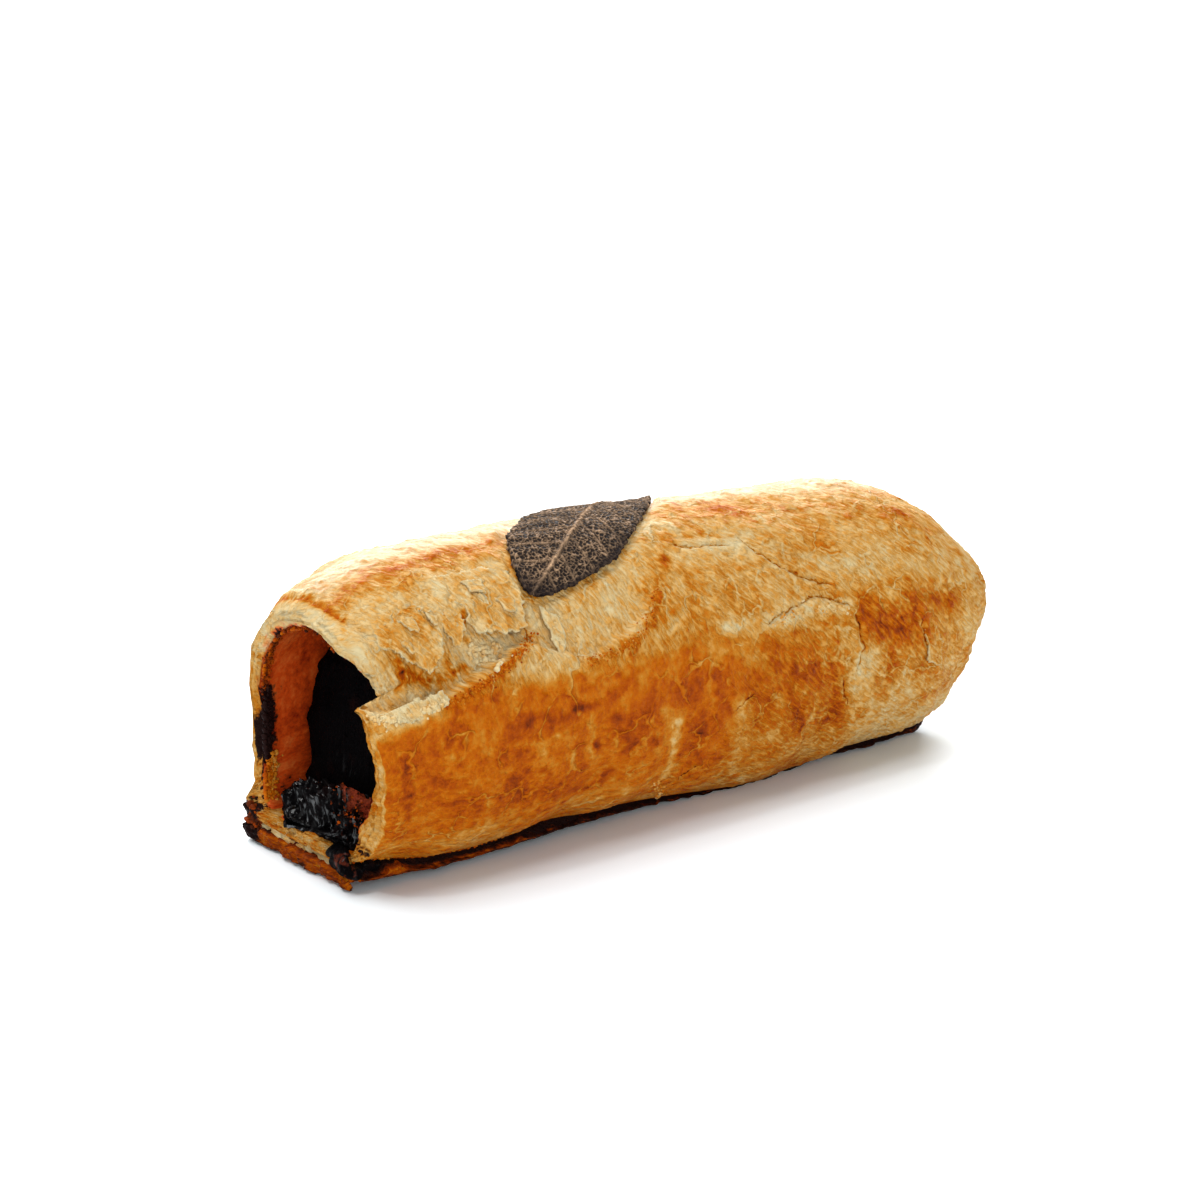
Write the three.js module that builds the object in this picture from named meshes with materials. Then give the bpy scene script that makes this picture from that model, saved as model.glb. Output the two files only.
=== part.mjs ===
// A baked sausage roll: a sleeve of puff pastry round a dark cooked filling, with a sage leaf on top.
// Units are millimetres. X runs along the roll, from its open mouth at -X to its drawn-in far end,
// -Y is the front, +Z is up, and the origin is on the tray under the middle of the roll.
import * as THREE from "three";

// The whole roll
const LENGTH = 138;
const WIDTH = 46.5;
const HEIGHT = 52;
const SAG = 2.6;
const FLANK_SHARE = 0.47;
const FULLNESS = 0.6;

// The foot of the roll, where the pastry lay on the tray: it sits towards the back
const FOOT_FRONT = 11;
const FOOT_BACK = 17;
const FOOT_THICK = 2.6;
const SEAM_HEIGHT = 3;
const SEAM_DEPTH = 2;
const SKIRT_AT = 75;
const SKIRT_RUN = 11;
const SKIRT_SHARE = 0.7;

// The mouth: the pastry droops and draws in towards it, more at the back
const MOUTH_RUN = 22;
const MOUTH_DROOP = 6.2;
const MOUTH_PINCH_FRONT = 2.4;
const MOUTH_PINCH_BACK = 4.2;
const RIM_NOTCH = 2.2;
const RIM_RUN = 12;
const LIP_CURL = 0.6;
const LIP_FLARE = 3.6;

// The far end: a blunt nose that lifts off the tray
const NOSE_RUN = 32;
const NOSE_DROOP = 12.5;
const NOSE_PINCH = 5;
const NOSE_LIFT = 12;
const NOSE_LIFT_RUN = 20;
const NOSE_SLANT = 5;
const NOSE_SLANT_RUN = 22;

// The pastry wall, and the filling's clearance in it
const WALL_TOP = 5.2;
const WALL_SIDE = 4;
const FLOOR = 6;
const CLEARANCE = 0.4;
const NOSE_CLEARANCE = 1;

// The filling: its face lies back in the mouth, and a tongue of it has run out to the lip
const FACE_START = 7;
const FACE_END = 17;
const FACE_LEAN = 11;
const FACE_LEAN_RUN = 46;
const TONGUE_HEIGHT = 8;
const TONGUE_DIP = 3;
const TONGUE_FRONT = 12.4;
const TONGUE_BACK = 11.5;
const TONGUE_TILT = 0.2;
const FAR_FACE = 1.4;

// The torn shoulder: the crust below the tear stands proud of the pale layers above it
const TEAR_DEPTH = 2.1;
const TEAR_LIP = 0.8;
const TEAR_RECOVERY = 9;
const TEAR_STEP = 2.2;

// The sage leaf: its tip lies on the front shoulder, and its midrib crosses the top of the roll
const LEAF_LENGTH = 58;
const LEAF_FRONT = 8.6;
const LEAF_BACK = 9;
const LEAF_THICK = 0.6;
const LEAF_GAP = 0.4;
const LEAF_BED = 0.6;
const LEAF_ARCH = 0.5;
const LEAF_WAVE = 0.15;
const LEAF_TIP = { along: 33.4, girth: 17.9 };
const LEAF_TURN = THREE.MathUtils.degToRad(-36.5);

// Distance round the skin, from the top to the flank, that one unit of q stands for
const QUARTER_GIRTH = 38;

const clamp01 = (t) => THREE.MathUtils.clamp(t, 0, 1);
const { lerp, smoothstep } = THREE.MathUtils;
const bump = (t) => Math.exp(-t * t);

// Evenly spaced stations over spans of [from, to, steps], each span starting where the last one ended
function stations(...spans) {
  const made = [spans[0][0]];
  for (const [from, to, steps] of spans)
    for (let i = 1; i <= steps; i++) made.push(lerp(from, to, i / steps));
  return made;
}

// How near a point is to each end: 1 at the end itself, 0 past its run
const nearMouth = (s, run = MOUTH_RUN) => clamp01(1 - s / run) ** 2.2;
const nearNose = (s, run = NOSE_RUN) => clamp01((s - LENGTH + run) / run) ** 2.4;

// How far the seam over the foot is open: it closes at the far end,
// and partly where the crust hangs down to the tray
const seamOpen = (s) =>
  (1 - nearNose(s, NOSE_LIFT_RUN)) * (1 - SKIRT_SHARE * bump((s - SKIRT_AT) / SKIRT_RUN));

// The outer section at a distance s from the mouth. Its front flank ends in the seam.
function outerSection(s) {
  const mouth = nearMouth(s);
  const nose = nearNose(s);
  return {
    seamHeight: SEAM_HEIGHT * seamOpen(s),
    seamDepth: SEAM_DEPTH * seamOpen(s),
    top: HEIGHT - (SAG * s) / LENGTH - MOUTH_DROOP * mouth - NOSE_DROOP * nose,
    bottom: NOSE_LIFT * nearNose(s, NOSE_LIFT_RUN),
    front: WIDTH / 2 - MOUTH_PINCH_FRONT * mouth - NOSE_PINCH * nose,
    back: WIDTH / 2 - MOUTH_PINCH_BACK * mouth - NOSE_PINCH * nose,
    footFront: FOOT_FRONT - 0.5 * NOSE_PINCH * nose,
    footBack: FOOT_BACK - 0.8 * NOSE_PINCH * nose,
  };
}

// The same section drawn in by the wall, and by a further clearance for what fits inside it
function boreSection(s, clearance = 0) {
  const outer = outerSection(s);
  const side = WALL_SIDE + clearance;
  return {
    seamHeight: 0,
    seamDepth: 0,
    top: outer.top - WALL_TOP - clearance,
    bottom: outer.bottom + lerp(FLOOR, WALL_SIDE, nearNose(s)) + clearance,
    front: outer.front - side,
    back: outer.back - side,
    footFront: outer.footFront - clearance,
    footBack: outer.footBack - side,
  };
}

// Half a section is two Bezier quarters. q is 0 at the top, 1 at the front flank and 2 at the front foot,
// with the back on the negative side.
function outline(section, q) {
  const inFront = q >= 0;
  const half = inFront ? section.front : section.back;
  const foot = inFront ? section.footFront : section.footBack;
  const flank = lerp(section.bottom, section.top, FLANK_SHARE);
  const end = section.bottom + (inFront ? section.seamHeight : 0);
  const tuck = inFront ? section.seamDepth : 0;
  const point = (y, z) => new THREE.Vector2(y, z);
  const upper = new THREE.CubicBezierCurve(
    point(0, section.top),
    point(FULLNESS * half, section.top),
    point(half, lerp(flank, section.top, FULLNESS)),
    point(half, flank),
  );
  const lower = new THREE.CubicBezierCurve(
    point(half, flank),
    point(half, lerp(flank, end, FULLNESS)),
    point(lerp(foot, half, 0.7), lerp(end, flank, 0.14)),
    point(foot - tuck, end),
  );
  const t = Math.abs(q);
  const p = t <= 1 ? upper.getPoint(t) : lower.getPoint(t - 1);
  return point(inFront ? -p.x : p.x, p.y);
}

// Outward normal of a section's outline at q
function outward(section, q) {
  const step = 0.01;
  const a = outline(section, q - step);
  const b = outline(section, q + step);
  return new THREE.Vector2(-(b.y - a.y), b.x - a.x).normalize().negate();
}

// The lower edge of the tear, as q against distance from the mouth: one torn run out of the mouth,
// then a second one under the leaf
const tearEdge = new THREE.SplineCurve(
  [
    [-2, 0.74],
    [4, 0.82],
    [13, 0.81],
    [22, 0.74],
    [29, 0.66],
    [34, 0.72],
    [39, 0.79],
    [45, 0.77],
    [52, 0.69],
    [59, 0.53],
  ].map(([s, q]) => new THREE.Vector2(s, q)),
);
const tearPoints = tearEdge.getSpacedPoints(120);
const TEAR_END = tearPoints.at(-1).x;
function tearGirth(s) {
  const next = Math.max(1, tearPoints.findIndex((p) => p.x >= s));
  const [a, b] = [tearPoints[next - 1], tearPoints[next]];
  return QUARTER_GIRTH * lerp(a.y, b.y, clamp01((s - a.x) / (b.x - a.x)));
}

// Height of the tear's relief: a raised crust lip below the edge, a drop above it that recovers towards the top
function tearRelief(s, girth) {
  if (s > TEAR_END) return 0;
  const strength = 1 - 0.55 * smoothstep(s, 20, 40) - 0.45 * smoothstep(s, 50, TEAR_END);
  const above = tearGirth(s) - girth;
  const drop = smoothstep(above, 0, TEAR_STEP) * (1 - smoothstep(above, TEAR_STEP, TEAR_RECOVERY));
  const lip = bump((above + TEAR_STEP) / TEAR_STEP);
  return strength * (TEAR_LIP * lip - TEAR_DEPTH * drop);
}

// Soft folds round the lower front and the back, and a slow swell along the top
const FOLD_PITCH = 17;
const FOLD_HEIGHT = 0.45;
const SWELL_PITCH = 100;
const SWELL_HEIGHT = 0.6;
function foldRelief(s, girth) {
  const low = smoothstep(Math.abs(girth), 0.7 * QUARTER_GIRTH, 1.3 * QUARTER_GIRTH);
  const lean = 0.12 * girth + 2.5 * Math.sin(girth / 11);
  const phase = (2 * Math.PI * (s + lean)) / FOLD_PITCH;
  const folds = FOLD_HEIGHT * low * (0.7 * Math.sin(phase) + 0.5 * Math.sin(0.62 * phase + 1.3));
  const swell = SWELL_HEIGHT * (1 - low) * Math.sin((2 * Math.PI * (s - 28)) / SWELL_PITCH);
  return folds + swell * (1 - nearMouth(s)) * (1 - nearNose(s));
}

// Puff pastry breaks in flakes: each one is a low plate with a sharp step on the side that lifted
const FLAKE_STEP = 0.6;
const FLAKES = [
  { along: 92, girth: 12, length: 34, width: 11, turn: 28 },
  { along: 104, girth: 30, length: 26, width: 13, turn: 6 },
  { along: 120, girth: 22, length: 22, width: 12, turn: -14 },
  { along: 88, girth: -20, length: 40, width: 14, turn: -20 },
  { along: 46, girth: -30, length: 38, width: 13, turn: 12 },
  { along: 112, girth: -34, length: 30, width: 12, turn: 24 },
  { along: 20, girth: -18, length: 26, width: 11, turn: -10 },
];
function flakeRelief(s, girth) {
  let height = 0;
  for (const flake of FLAKES) {
    const p = new THREE.Vector2(s - flake.along, girth - flake.girth);
    p.rotateAround(new THREE.Vector2(), THREE.MathUtils.degToRad(-flake.turn));
    const across = p.y / flake.width;
    const inside = bump((p.x / flake.length) * 2.2) * smoothstep(across, -0.5, 0.45);
    height += FLAKE_STEP * inside * (1 - smoothstep(across, 0.45, 0.75));
  }
  return height;
}

// Half the leaf's width at a share t of its length from the tip, on its front or its back side:
// the tip is blunter at the back, and both sides draw in to the stalk
function leafHalf(t, side) {
  const tip = side > 0 ? 2.1 * t ** 0.62 : 2.3 * t ** 0.5;
  return (side > 0 ? LEAF_FRONT : LEAF_BACK) * Math.max(0.06, Math.min(1, tip) * (1 - t ** 6) ** 0.8);
}

// How far a point of the skin is under the leaf: 1 under it, 0 clear of it
function underLeaf(s, girth) {
  const p = new THREE.Vector2(s - LEAF_TIP.along, girth - LEAF_TIP.girth);
  p.rotateAround(new THREE.Vector2(), -LEAF_TURN);
  const aside = Math.abs(p.y) - leafHalf(clamp01(p.x / LEAF_LENGTH), p.y);
  const past = Math.max(-p.x, p.x - LEAF_LENGTH, aside);
  return 1 - smoothstep(past, 1.5, 3.5);
}

// The whole relief of the skin, which is smooth and a little sunk in under the leaf
function relief(s, q) {
  const girth = q * QUARTER_GIRTH;
  const ends = smoothstep(s, 0, 3) * (1 - smoothstep(s, LENGTH - 5, LENGTH));
  const open = 1 - smoothstep(Math.abs(q), 1.75, 2);
  const broken = tearRelief(s, girth) + ends * flakeRelief(s, girth);
  return open * (ends * foldRelief(s, girth) + lerp(broken, Math.min(0, broken) - LEAF_BED, underLeaf(s, girth)));
}

// The rim of the mouth is set back a little from the lip, with a notch where the tear runs into it
function rimSetback(q) {
  const setback = 0.5 + 0.35 * Math.sin(5 * q + 1);
  return (1 - smoothstep(Math.abs(q), 1.3, 1.7)) * (setback + RIM_NOTCH * bump((q - 0.6) / 0.09));
}

// Where a point of a section at s really lies along X: the rim is set back at the mouth,
// and the far end slants in under its top
function alongAt(s, q) {
  const atRim = clamp01(1 - s / RIM_RUN) ** 2;
  const atNose = clamp01((s - LENGTH + NOSE_SLANT_RUN) / NOSE_SLANT_RUN) ** 2;
  const slant = NOSE_SLANT * smoothstep(Math.abs(q), 0.7, 1.8);
  return s + rimSetback(q) * atRim - slant * atNose - LENGTH / 2;
}

// Columns round the roll: q columns over the skin, close together at the tear, then the foot and the base
const SKIN_COLUMNS = stations([-2, 0.4, 22], [0.4, 0.95, 15], [0.95, 2, 11]);
const BASE_COLUMNS = [0.12, 0.35, 0.6, 0.85];

// One ring of the outer skin at distance s from the mouth
function outerRing(s) {
  const section = outerSection(s);
  const ring = SKIN_COLUMNS.map((q) => {
    const p = outline(section, q).addScaledVector(outward(section, q), relief(s, q));
    return new THREE.Vector3(alongAt(s, q), p.x, p.y);
  });
  // the pastry's lower layer: its edge stands out under the seam
  const x = alongAt(s, 2);
  const { bottom, footFront, footBack } = section;
  ring.push(new THREE.Vector3(x, -footFront - 0.4, bottom + FOOT_THICK * 0.8 * seamOpen(s)));
  ring.push(new THREE.Vector3(x, -footFront, bottom));
  for (const t of BASE_COLUMNS) ring.push(new THREE.Vector3(x, lerp(-footFront, footBack, t), bottom));
  return ring;
}

// The back corner of the lip curled up in the oven
function curlLip(p) {
  const s = p.x + LENGTH / 2;
  const corner = clamp01((p.y - 11) / 6) * (1 - smoothstep(p.z, 4, 11)) * clamp01(1 - s / 8) ** 2;
  p.z += LIP_CURL * corner;
  p.y += LIP_FLARE * corner;
}

// One ring of the bore, with a point for each point of the outer ring
function boreRing(s, sectionAt = boreSection, lean = () => 0) {
  const ring = SKIN_COLUMNS.map((q) => {
    const p = outline(sectionAt(s, lean(q)), q);
    return new THREE.Vector3(alongAt(s, q) + lean(q), p.x, p.y);
  });
  const { bottom, footFront, footBack } = sectionAt(s, lean(2));
  for (const t of [0.03, 0.07, ...BASE_COLUMNS])
    ring.push(new THREE.Vector3(ring[0].x, lerp(-footFront, footBack, t), bottom));
  return ring;
}

// A closed skin over rings of points that run the same way round, all of one count.
// The last ring joins the first where wrap is true, and both ends are closed by a fan where it isn't.
function loft(rings, { wrap = false, mirrored = () => false } = {}) {
  const count = rings[0].length;
  const points = rings.flat();
  const faces = [];
  const last = wrap ? rings.length : rings.length - 1;
  for (let i = 0; i < last; i++)
    for (let j = 0; j < count; j++) {
      const next = (i + 1) % rings.length;
      const [a, b] = [i * count + j, i * count + ((j + 1) % count)];
      const [c, d] = [next * count + j, next * count + ((j + 1) % count)];
      if (mirrored(j)) faces.push(a, b, d, a, d, c);
      else faces.push(a, b, c, b, d, c);
    }
  if (!wrap)
    for (const [ring, start] of [
      [rings[0], 0],
      [rings.at(-1), (rings.length - 1) * count],
    ]) {
      const middle = ring.reduce((sum, p) => sum.add(p), new THREE.Vector3()).divideScalar(count);
      const centre = points.push(middle) - 1;
      for (let j = 0; j < count; j++) {
        const [a, b] = [start + j, start + ((j + 1) % count)];
        if (start === 0) faces.push(centre, b, a);
        else faces.push(centre, a, b);
      }
    }
  const geometry = new THREE.BufferGeometry().setFromPoints(points);
  geometry.setIndex(faces);
  geometry.computeVertexNormals();
  return geometry;
}

// Stations along the roll. The bore and the filling share theirs, so that they stay apart between rings.
const SKIN_STATIONS = stations([0.8, 32, 21], [32, 62, 16], [62, LENGTH - 20, 16], [LENGTH - 20, LENGTH, 12]);
const BORE_STATIONS = stations([FACE_END, 40, 4], [40, LENGTH - 30, 4], [LENGTH - 30, LENGTH - 2, 8]);
const MOUTH_STATIONS = stations([1, FACE_END, 5]);

function pastry() {
  const blend = (outer, bore, depth, shift) =>
    outer.map((p, j) => p.clone().lerp(bore[j], depth).setX(lerp(p.x, bore[j].x, depth) + shift));
  const skin = SKIN_STATIONS.map(outerRing);
  const bore = [...MOUTH_STATIONS.slice(0, -1), ...BORE_STATIONS].map((s) => boreRing(s, (at) => boreSection(at)));
  const mouthRim = [0.85, 0.5, 0.18].map((depth) => {
    return blend(skin[0], bore[0], depth, -0.9 * Math.sin(Math.PI * depth));
  });
  const noseRim = [0.3, 0.7].map((depth) => blend(skin.at(-1), bore.at(-1), depth, 0.5));
  const rings = [...skin, ...noseRim, ...bore.reverse(), ...mouthRim];
  rings.flat().forEach(curlLip);
  return loft(rings, { wrap: true });
}

// The filling's section at s, in the bore's section a little further in: a low tongue that rises to the face,
// and a rounded end inside the nose
function fillingSection(s, lean) {
  const section = boreSection(s + lean, lerp(CLEARANCE, NOSE_CLEARANCE, nearNose(s)));
  const rise = faceRise(s);
  const dip = TONGUE_DIP * bump((s - FACE_START) / 3);
  const low = (TONGUE_HEIGHT - dip) * bump(Math.max(0, 3 - s) / 2.6);
  const far = Math.sqrt(1 - clamp01((s - LENGTH + 9) / 10) ** 2);
  section.top = section.bottom + lerp(low, section.top - section.bottom, rise) * lerp(0.7, 1, far);
  section.front = lerp(TONGUE_FRONT, section.front, rise) * lerp(0.75, 1, far);
  section.back = lerp(TONGUE_BACK, section.back, rise) * lerp(0.75, 1, far);
  section.footFront = Math.min(section.footFront, section.front - 1);
  section.footBack = Math.min(section.footBack, section.back - 1);
  return section;
}
const faceRise = (s) => Math.sqrt(1 - (1 - smoothstep(s, FACE_START, FACE_END)) ** 2);

// The face lies furthest back at its top, and the tongue stands highest against the front wall
function fillingRing(s) {
  const fade = smoothstep(s, FACE_START, FACE_END) * (1 - smoothstep(s, FACE_END, FACE_LEAN_RUN));
  const lean = (q) => fade * FACE_LEAN * clamp01(1 - Math.abs(q) / 1.5) ** 1.5;
  const ring = boreRing(s, fillingSection, lean);
  const { bottom, top } = fillingSection(s, 0);
  for (const p of ring) {
    const share = clamp01((p.z - bottom) / (top - bottom));
    p.z -= TONGUE_TILT * p.y * share * (1 - faceRise(s));
  }
  return ring;
}

function filling() {
  const tongue = stations([0.9, FACE_START, 6], [FACE_START, FACE_END, 8]).slice(0, -1);
  const body = BORE_STATIONS.filter((s) => s < LENGTH - 3);
  const rings = [...tongue, ...body, LENGTH - FAR_FACE - 0.8].map(fillingRing);
  // every second column is enough for the smooth body
  return loft(rings.map((ring) => ring.filter((_, j) => j % 2 === 0)));
}

// A place on the skin, lifted off it along the section's normal
function onSkin(s, girth, lift) {
  const section = outerSection(s);
  const q = girth / QUARTER_GIRTH;
  const p = outline(section, q).addScaledVector(outward(section, q), lift + foldRelief(s, girth));
  return new THREE.Vector3(alongAt(s, q), p.x, p.y);
}

function leafRing(t, across) {
  const along = t * LEAF_LENGTH;
  const ring = [];
  for (const [face, order] of [
    [1, across],
    [0, [...across].reverse()],
  ])
    for (const a of order) {
      const p = new THREE.Vector2(along, a * leafHalf(t, a));
      p.rotateAround(new THREE.Vector2(), LEAF_TURN);
      const arch = LEAF_ARCH * (1 - a * a) * Math.sin(Math.PI * Math.min(1, 1.4 * t));
      const wave = LEAF_WAVE * a * a * (1 + Math.sin(0.55 * along + (a > 0 ? 0 : 2)));
      ring.push(onSkin(LEAF_TIP.along + p.x, LEAF_TIP.girth + p.y, LEAF_GAP - LEAF_BED + arch + wave + face * LEAF_THICK));
    }
  return ring;
}

function sageLeaf() {
  const across = stations([-1, 1, 8]);
  const rings = stations([0, 0.1, 3], [0.1, 1, 18]).map((t) => leafRing(t, across));
  return loft(rings, { mirrored: (j) => j < across.length });
}

const MATERIALS = {
  pastry: new THREE.MeshStandardMaterial({ color: 0xc8863c, roughness: 0.55 }),
  filling: new THREE.MeshStandardMaterial({ color: 0x2a1210, roughness: 0.35 }),
  sage_leaf: new THREE.MeshStandardMaterial({ color: 0x3d3626, roughness: 0.7 }),
};

const roll = new THREE.Group();
for (const [name, geometry] of Object.entries({ pastry: pastry(), filling: filling(), sage_leaf: sageLeaf() })) {
  const mesh = new THREE.Mesh(geometry, MATERIALS[name]);
  mesh.name = name;
  roll.add(mesh);
}

export default roll;
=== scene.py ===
# %% [markdown]
# # A baked sausage roll
# The real thing is a sleeve of puff pastry round a dark, sticky filling, with a sage leaf baked on top.
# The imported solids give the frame: where each piece sits and how large it is. In this lesson each solid
# is replaced by a finer piece that is worked out from the same named sizes, so nothing has to be fitted.

import bmesh
import bpy
import numpy as np
from mathutils import Matrix, Vector, noise


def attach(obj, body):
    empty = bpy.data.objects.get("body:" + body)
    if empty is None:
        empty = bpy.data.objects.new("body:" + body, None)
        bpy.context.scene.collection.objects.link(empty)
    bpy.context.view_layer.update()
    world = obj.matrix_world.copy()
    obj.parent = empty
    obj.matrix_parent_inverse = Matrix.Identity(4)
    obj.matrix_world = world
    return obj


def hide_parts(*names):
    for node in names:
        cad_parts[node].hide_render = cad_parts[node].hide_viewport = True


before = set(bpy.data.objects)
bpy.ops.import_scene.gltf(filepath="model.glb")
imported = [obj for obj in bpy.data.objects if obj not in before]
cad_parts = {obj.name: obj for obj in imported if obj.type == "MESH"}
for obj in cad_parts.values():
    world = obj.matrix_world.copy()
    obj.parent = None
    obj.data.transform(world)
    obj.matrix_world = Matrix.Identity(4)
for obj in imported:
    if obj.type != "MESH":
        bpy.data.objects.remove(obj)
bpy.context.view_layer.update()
MM = 0.001
print("nodes", sorted(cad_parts))

# %% [markdown]
# ## The camera
# The roll is seen from its open end, a little above, with a long lens. The view was matched to the
# outline of the roll, so the camera is placed by its turn round the roll, its height and its distance.

# %% Camera
AIM = Vector((-2.4, 0.0, 26.5)) * MM
CAMERA_TURN = -38.5
CAMERA_RISE = 16.8
CAMERA_DISTANCE = 458 * MM
LENS_PIXELS = 2600
IMAGE_PIXELS = 1200
SENSOR = 36.0
AIM_PIXEL = (630, 643)


def looking_from(turn, rise, distance):
    """The matrix of a camera or a light that looks at the roll, from a turn and a rise in degrees."""
    turn, rise = np.radians(turn), np.radians(rise)
    ahead = Vector((-np.sin(turn) * np.cos(rise), np.cos(turn) * np.cos(rise), -np.sin(rise)))
    right = ahead.cross(Vector((0, 0, 1))).normalized()
    turned = Matrix((right, right.cross(ahead), -ahead)).transposed().to_4x4()
    return Matrix.Translation(AIM - distance * ahead) @ turned


def add_object(name, data):
    made = bpy.data.objects.new(name, data)
    bpy.context.scene.collection.objects.link(made)
    return made


camera_data = bpy.data.cameras.new("camera")
camera_data.sensor_width = SENSOR
camera_data.lens = SENSOR * LENS_PIXELS / IMAGE_PIXELS
camera_data.shift_x = (IMAGE_PIXELS / 2 - AIM_PIXEL[0]) / IMAGE_PIXELS
camera_data.shift_y = (AIM_PIXEL[1] - IMAGE_PIXELS / 2) / IMAGE_PIXELS
camera_data.clip_start = 0.01
camera = add_object("camera", camera_data)
camera.matrix_world = looking_from(CAMERA_TURN, CAMERA_RISE, CAMERA_DISTANCE)
bpy.context.scene.camera = camera
print("camera at", [round(v, 3) for v in camera.matrix_world.translation])

# %% [markdown]
# ## Soft steps and bumps
# Nearly every form on a baked crust is a smooth step or a rounded bump, so these few functions come
# first. They take whole arrays, because the crust has tens of thousands of points.

# %% Small functions


def clamp01(t):
    return np.clip(t, 0.0, 1.0)


def lerp(a, b, t):
    return a + (b - a) * t


def smoothstep(t, low, high):
    t = clamp01((t - low) / (high - low))
    return t * t * (3 - 2 * t)


def bump(t):
    return np.exp(-t * t)


def band(t, rise, full, fall, gone):
    """A soft step up from rise to full, and down again from fall to gone."""
    return smoothstep(t, rise, full) * (1 - smoothstep(t, fall, gone))


def over_grid(rows, columns):
    """The place of each row and of each column, as two arrays of rows by columns."""
    first = rows[:, None] + 0 * columns
    return first, columns + 0 * first


def grain(s, g, along, girth, seed, octaves=2):
    """Noise over the flat sheet of pastry, about -1 to 1, with grains of along by girth millimetres."""
    spots = zip(np.ravel(s) / along, np.ravel(g) / girth)
    made = [noise.fractal((a, b, 7.3 * seed), 1.0, 2.0, octaves) for a, b in spots]
    return np.reshape(made, np.shape(s))


# %% [markdown]
# ## The section of the roll
# A place on the skin is given as on a flat sheet of pastry: s millimetres along from the mouth, and q
# round the roll, 0 at the top, 1 at the front flank and 2 at the seam over the foot, negative at the
# back. Two Bezier quarters make each half of a section, and they change along the roll, so it droops
# at the mouth and draws in to a blunt far end.

# %% Sizes of the roll
LENGTH = 138.0
WIDTH = 46.5
HEIGHT = 52.0
SAG = 2.6
FLANK_SHARE = 0.47
FULLNESS = 0.6
GIRTH = 38.0
BORE_FOOT = 11.0
FOOT_BACK = 17.0
FOOT_INSET = 5.0
FOOT_LIFT_SHARE = 0.42
SEAM_TUCK = 0.67
# height of the seam and how far the foot stands out, at places along the roll
SEAM_ALONG = [0, 6, 14, 22, 30, 38, 48, 56, 64, 76, 86, 96, 104, 120, 138]
SEAM_UP = [4.6, 4.2, 2.9, 2.4, 2.8, 3.2, 2.7, 2.1, 1.5, 0.5, 0.1, 0.6, 1.4, 1.4, 0]
FOOT_OUT = [13.5, 14, 14, 14, 14, 13.5, 13, 12.5, 12, 12.5, 13, 12, 12, 12.5, 12.5]
MOUTH_RUN = 22.0
MOUTH_DROOP = 6.2
MOUTH_PINCH_FRONT = 2.4
MOUTH_PINCH_BACK = 4.2
RIM_NOTCH = 4.0
RIM_FLAP = 2.1
RIM_RUN = 12.0
NOSE_RUN = 32.0
NOSE_DROOP = 12.5
NOSE_PINCH = 5.0
NOSE_LIFT = 12.0
NOSE_LIFT_RUN = 20.0
BASE_LIFT_RUN = 10.0
NOSE_SLANT = 5.0
NOSE_SLANT_RUN = 22.0
WALL_TOP = 5.2
WALL_SIDE = 4.0
FLOOR = 6.0


# %% Sections


def near_mouth(s, run=MOUTH_RUN):
    return clamp01(1 - s / run) ** 2.2


def near_nose(s, run=NOSE_RUN):
    return clamp01((s - LENGTH + run) / run) ** 2.4


def outer_section(s):
    mouth, nose = near_mouth(s), near_nose(s)
    seam = np.interp(s, SEAM_ALONG, SEAM_UP) * (1 - near_nose(s, NOSE_LIFT_RUN))
    return {
        "top": HEIGHT - SAG * s / LENGTH - MOUTH_DROOP * mouth - NOSE_DROOP * nose,
        "bottom": NOSE_LIFT * near_nose(s, NOSE_LIFT_RUN),
        "front": WIDTH / 2 - MOUTH_PINCH_FRONT * mouth - NOSE_PINCH * nose,
        "back": WIDTH / 2 - MOUTH_PINCH_BACK * mouth - NOSE_PINCH * nose,
        "foot_front": np.interp(s, SEAM_ALONG, FOOT_OUT) - 0.5 * NOSE_PINCH * nose,
        "foot_back": FOOT_BACK - 0.8 * NOSE_PINCH * nose,
        "seam": seam,
        "tuck": SEAM_TUCK * seam,
    }


def bore_section(s, clearance=0.0):
    outer = outer_section(s)
    side = WALL_SIDE + clearance
    return {
        "top": outer["top"] - WALL_TOP - clearance,
        "bottom": outer["bottom"] + lerp(FLOOR, WALL_SIDE, near_nose(s)) + clearance,
        "front": outer["front"] - side,
        "back": outer["back"] - side,
        "foot_front": np.minimum(outer["foot_front"], BORE_FOOT) - clearance,
        "foot_back": outer["foot_back"] - side,
        "seam": 0.0 * s,
        "tuck": 0.0 * s,
    }


def bezier(a, b, c, d, t):
    u = 1 - t
    return a * u**3 + 3 * b * u * u * t + 3 * c * u * t * t + d * t**3


def outline(section, q):
    """Y and Z of a section's outline at q."""
    in_front = q >= 0
    half = np.where(in_front, section["front"], section["back"])
    foot = np.where(in_front, section["foot_front"], section["foot_back"])
    seam = np.where(in_front, section["seam"], 0.0)
    tuck = np.where(in_front, section["tuck"], 0.0)
    top = section["top"]
    flank = lerp(section["bottom"], top, FLANK_SHARE)
    end = section["bottom"] + seam
    t = np.abs(q)
    upper, lower = clamp01(t), clamp01(t - 1)
    y_up = bezier(0 * half, FULLNESS * half, half, half, upper)
    z_up = bezier(top, top, lerp(flank, top, FULLNESS), flank, upper)
    y_low = bezier(half, half, lerp(foot, half, 0.7), foot - tuck, lower)
    z_low = bezier(flank, lerp(flank, end, FULLNESS), lerp(end, flank, 0.14), end, lower)
    y = np.where(t <= 1, y_up, y_low)
    return np.where(in_front, -y, y), np.where(t <= 1, z_up, z_low)


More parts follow.
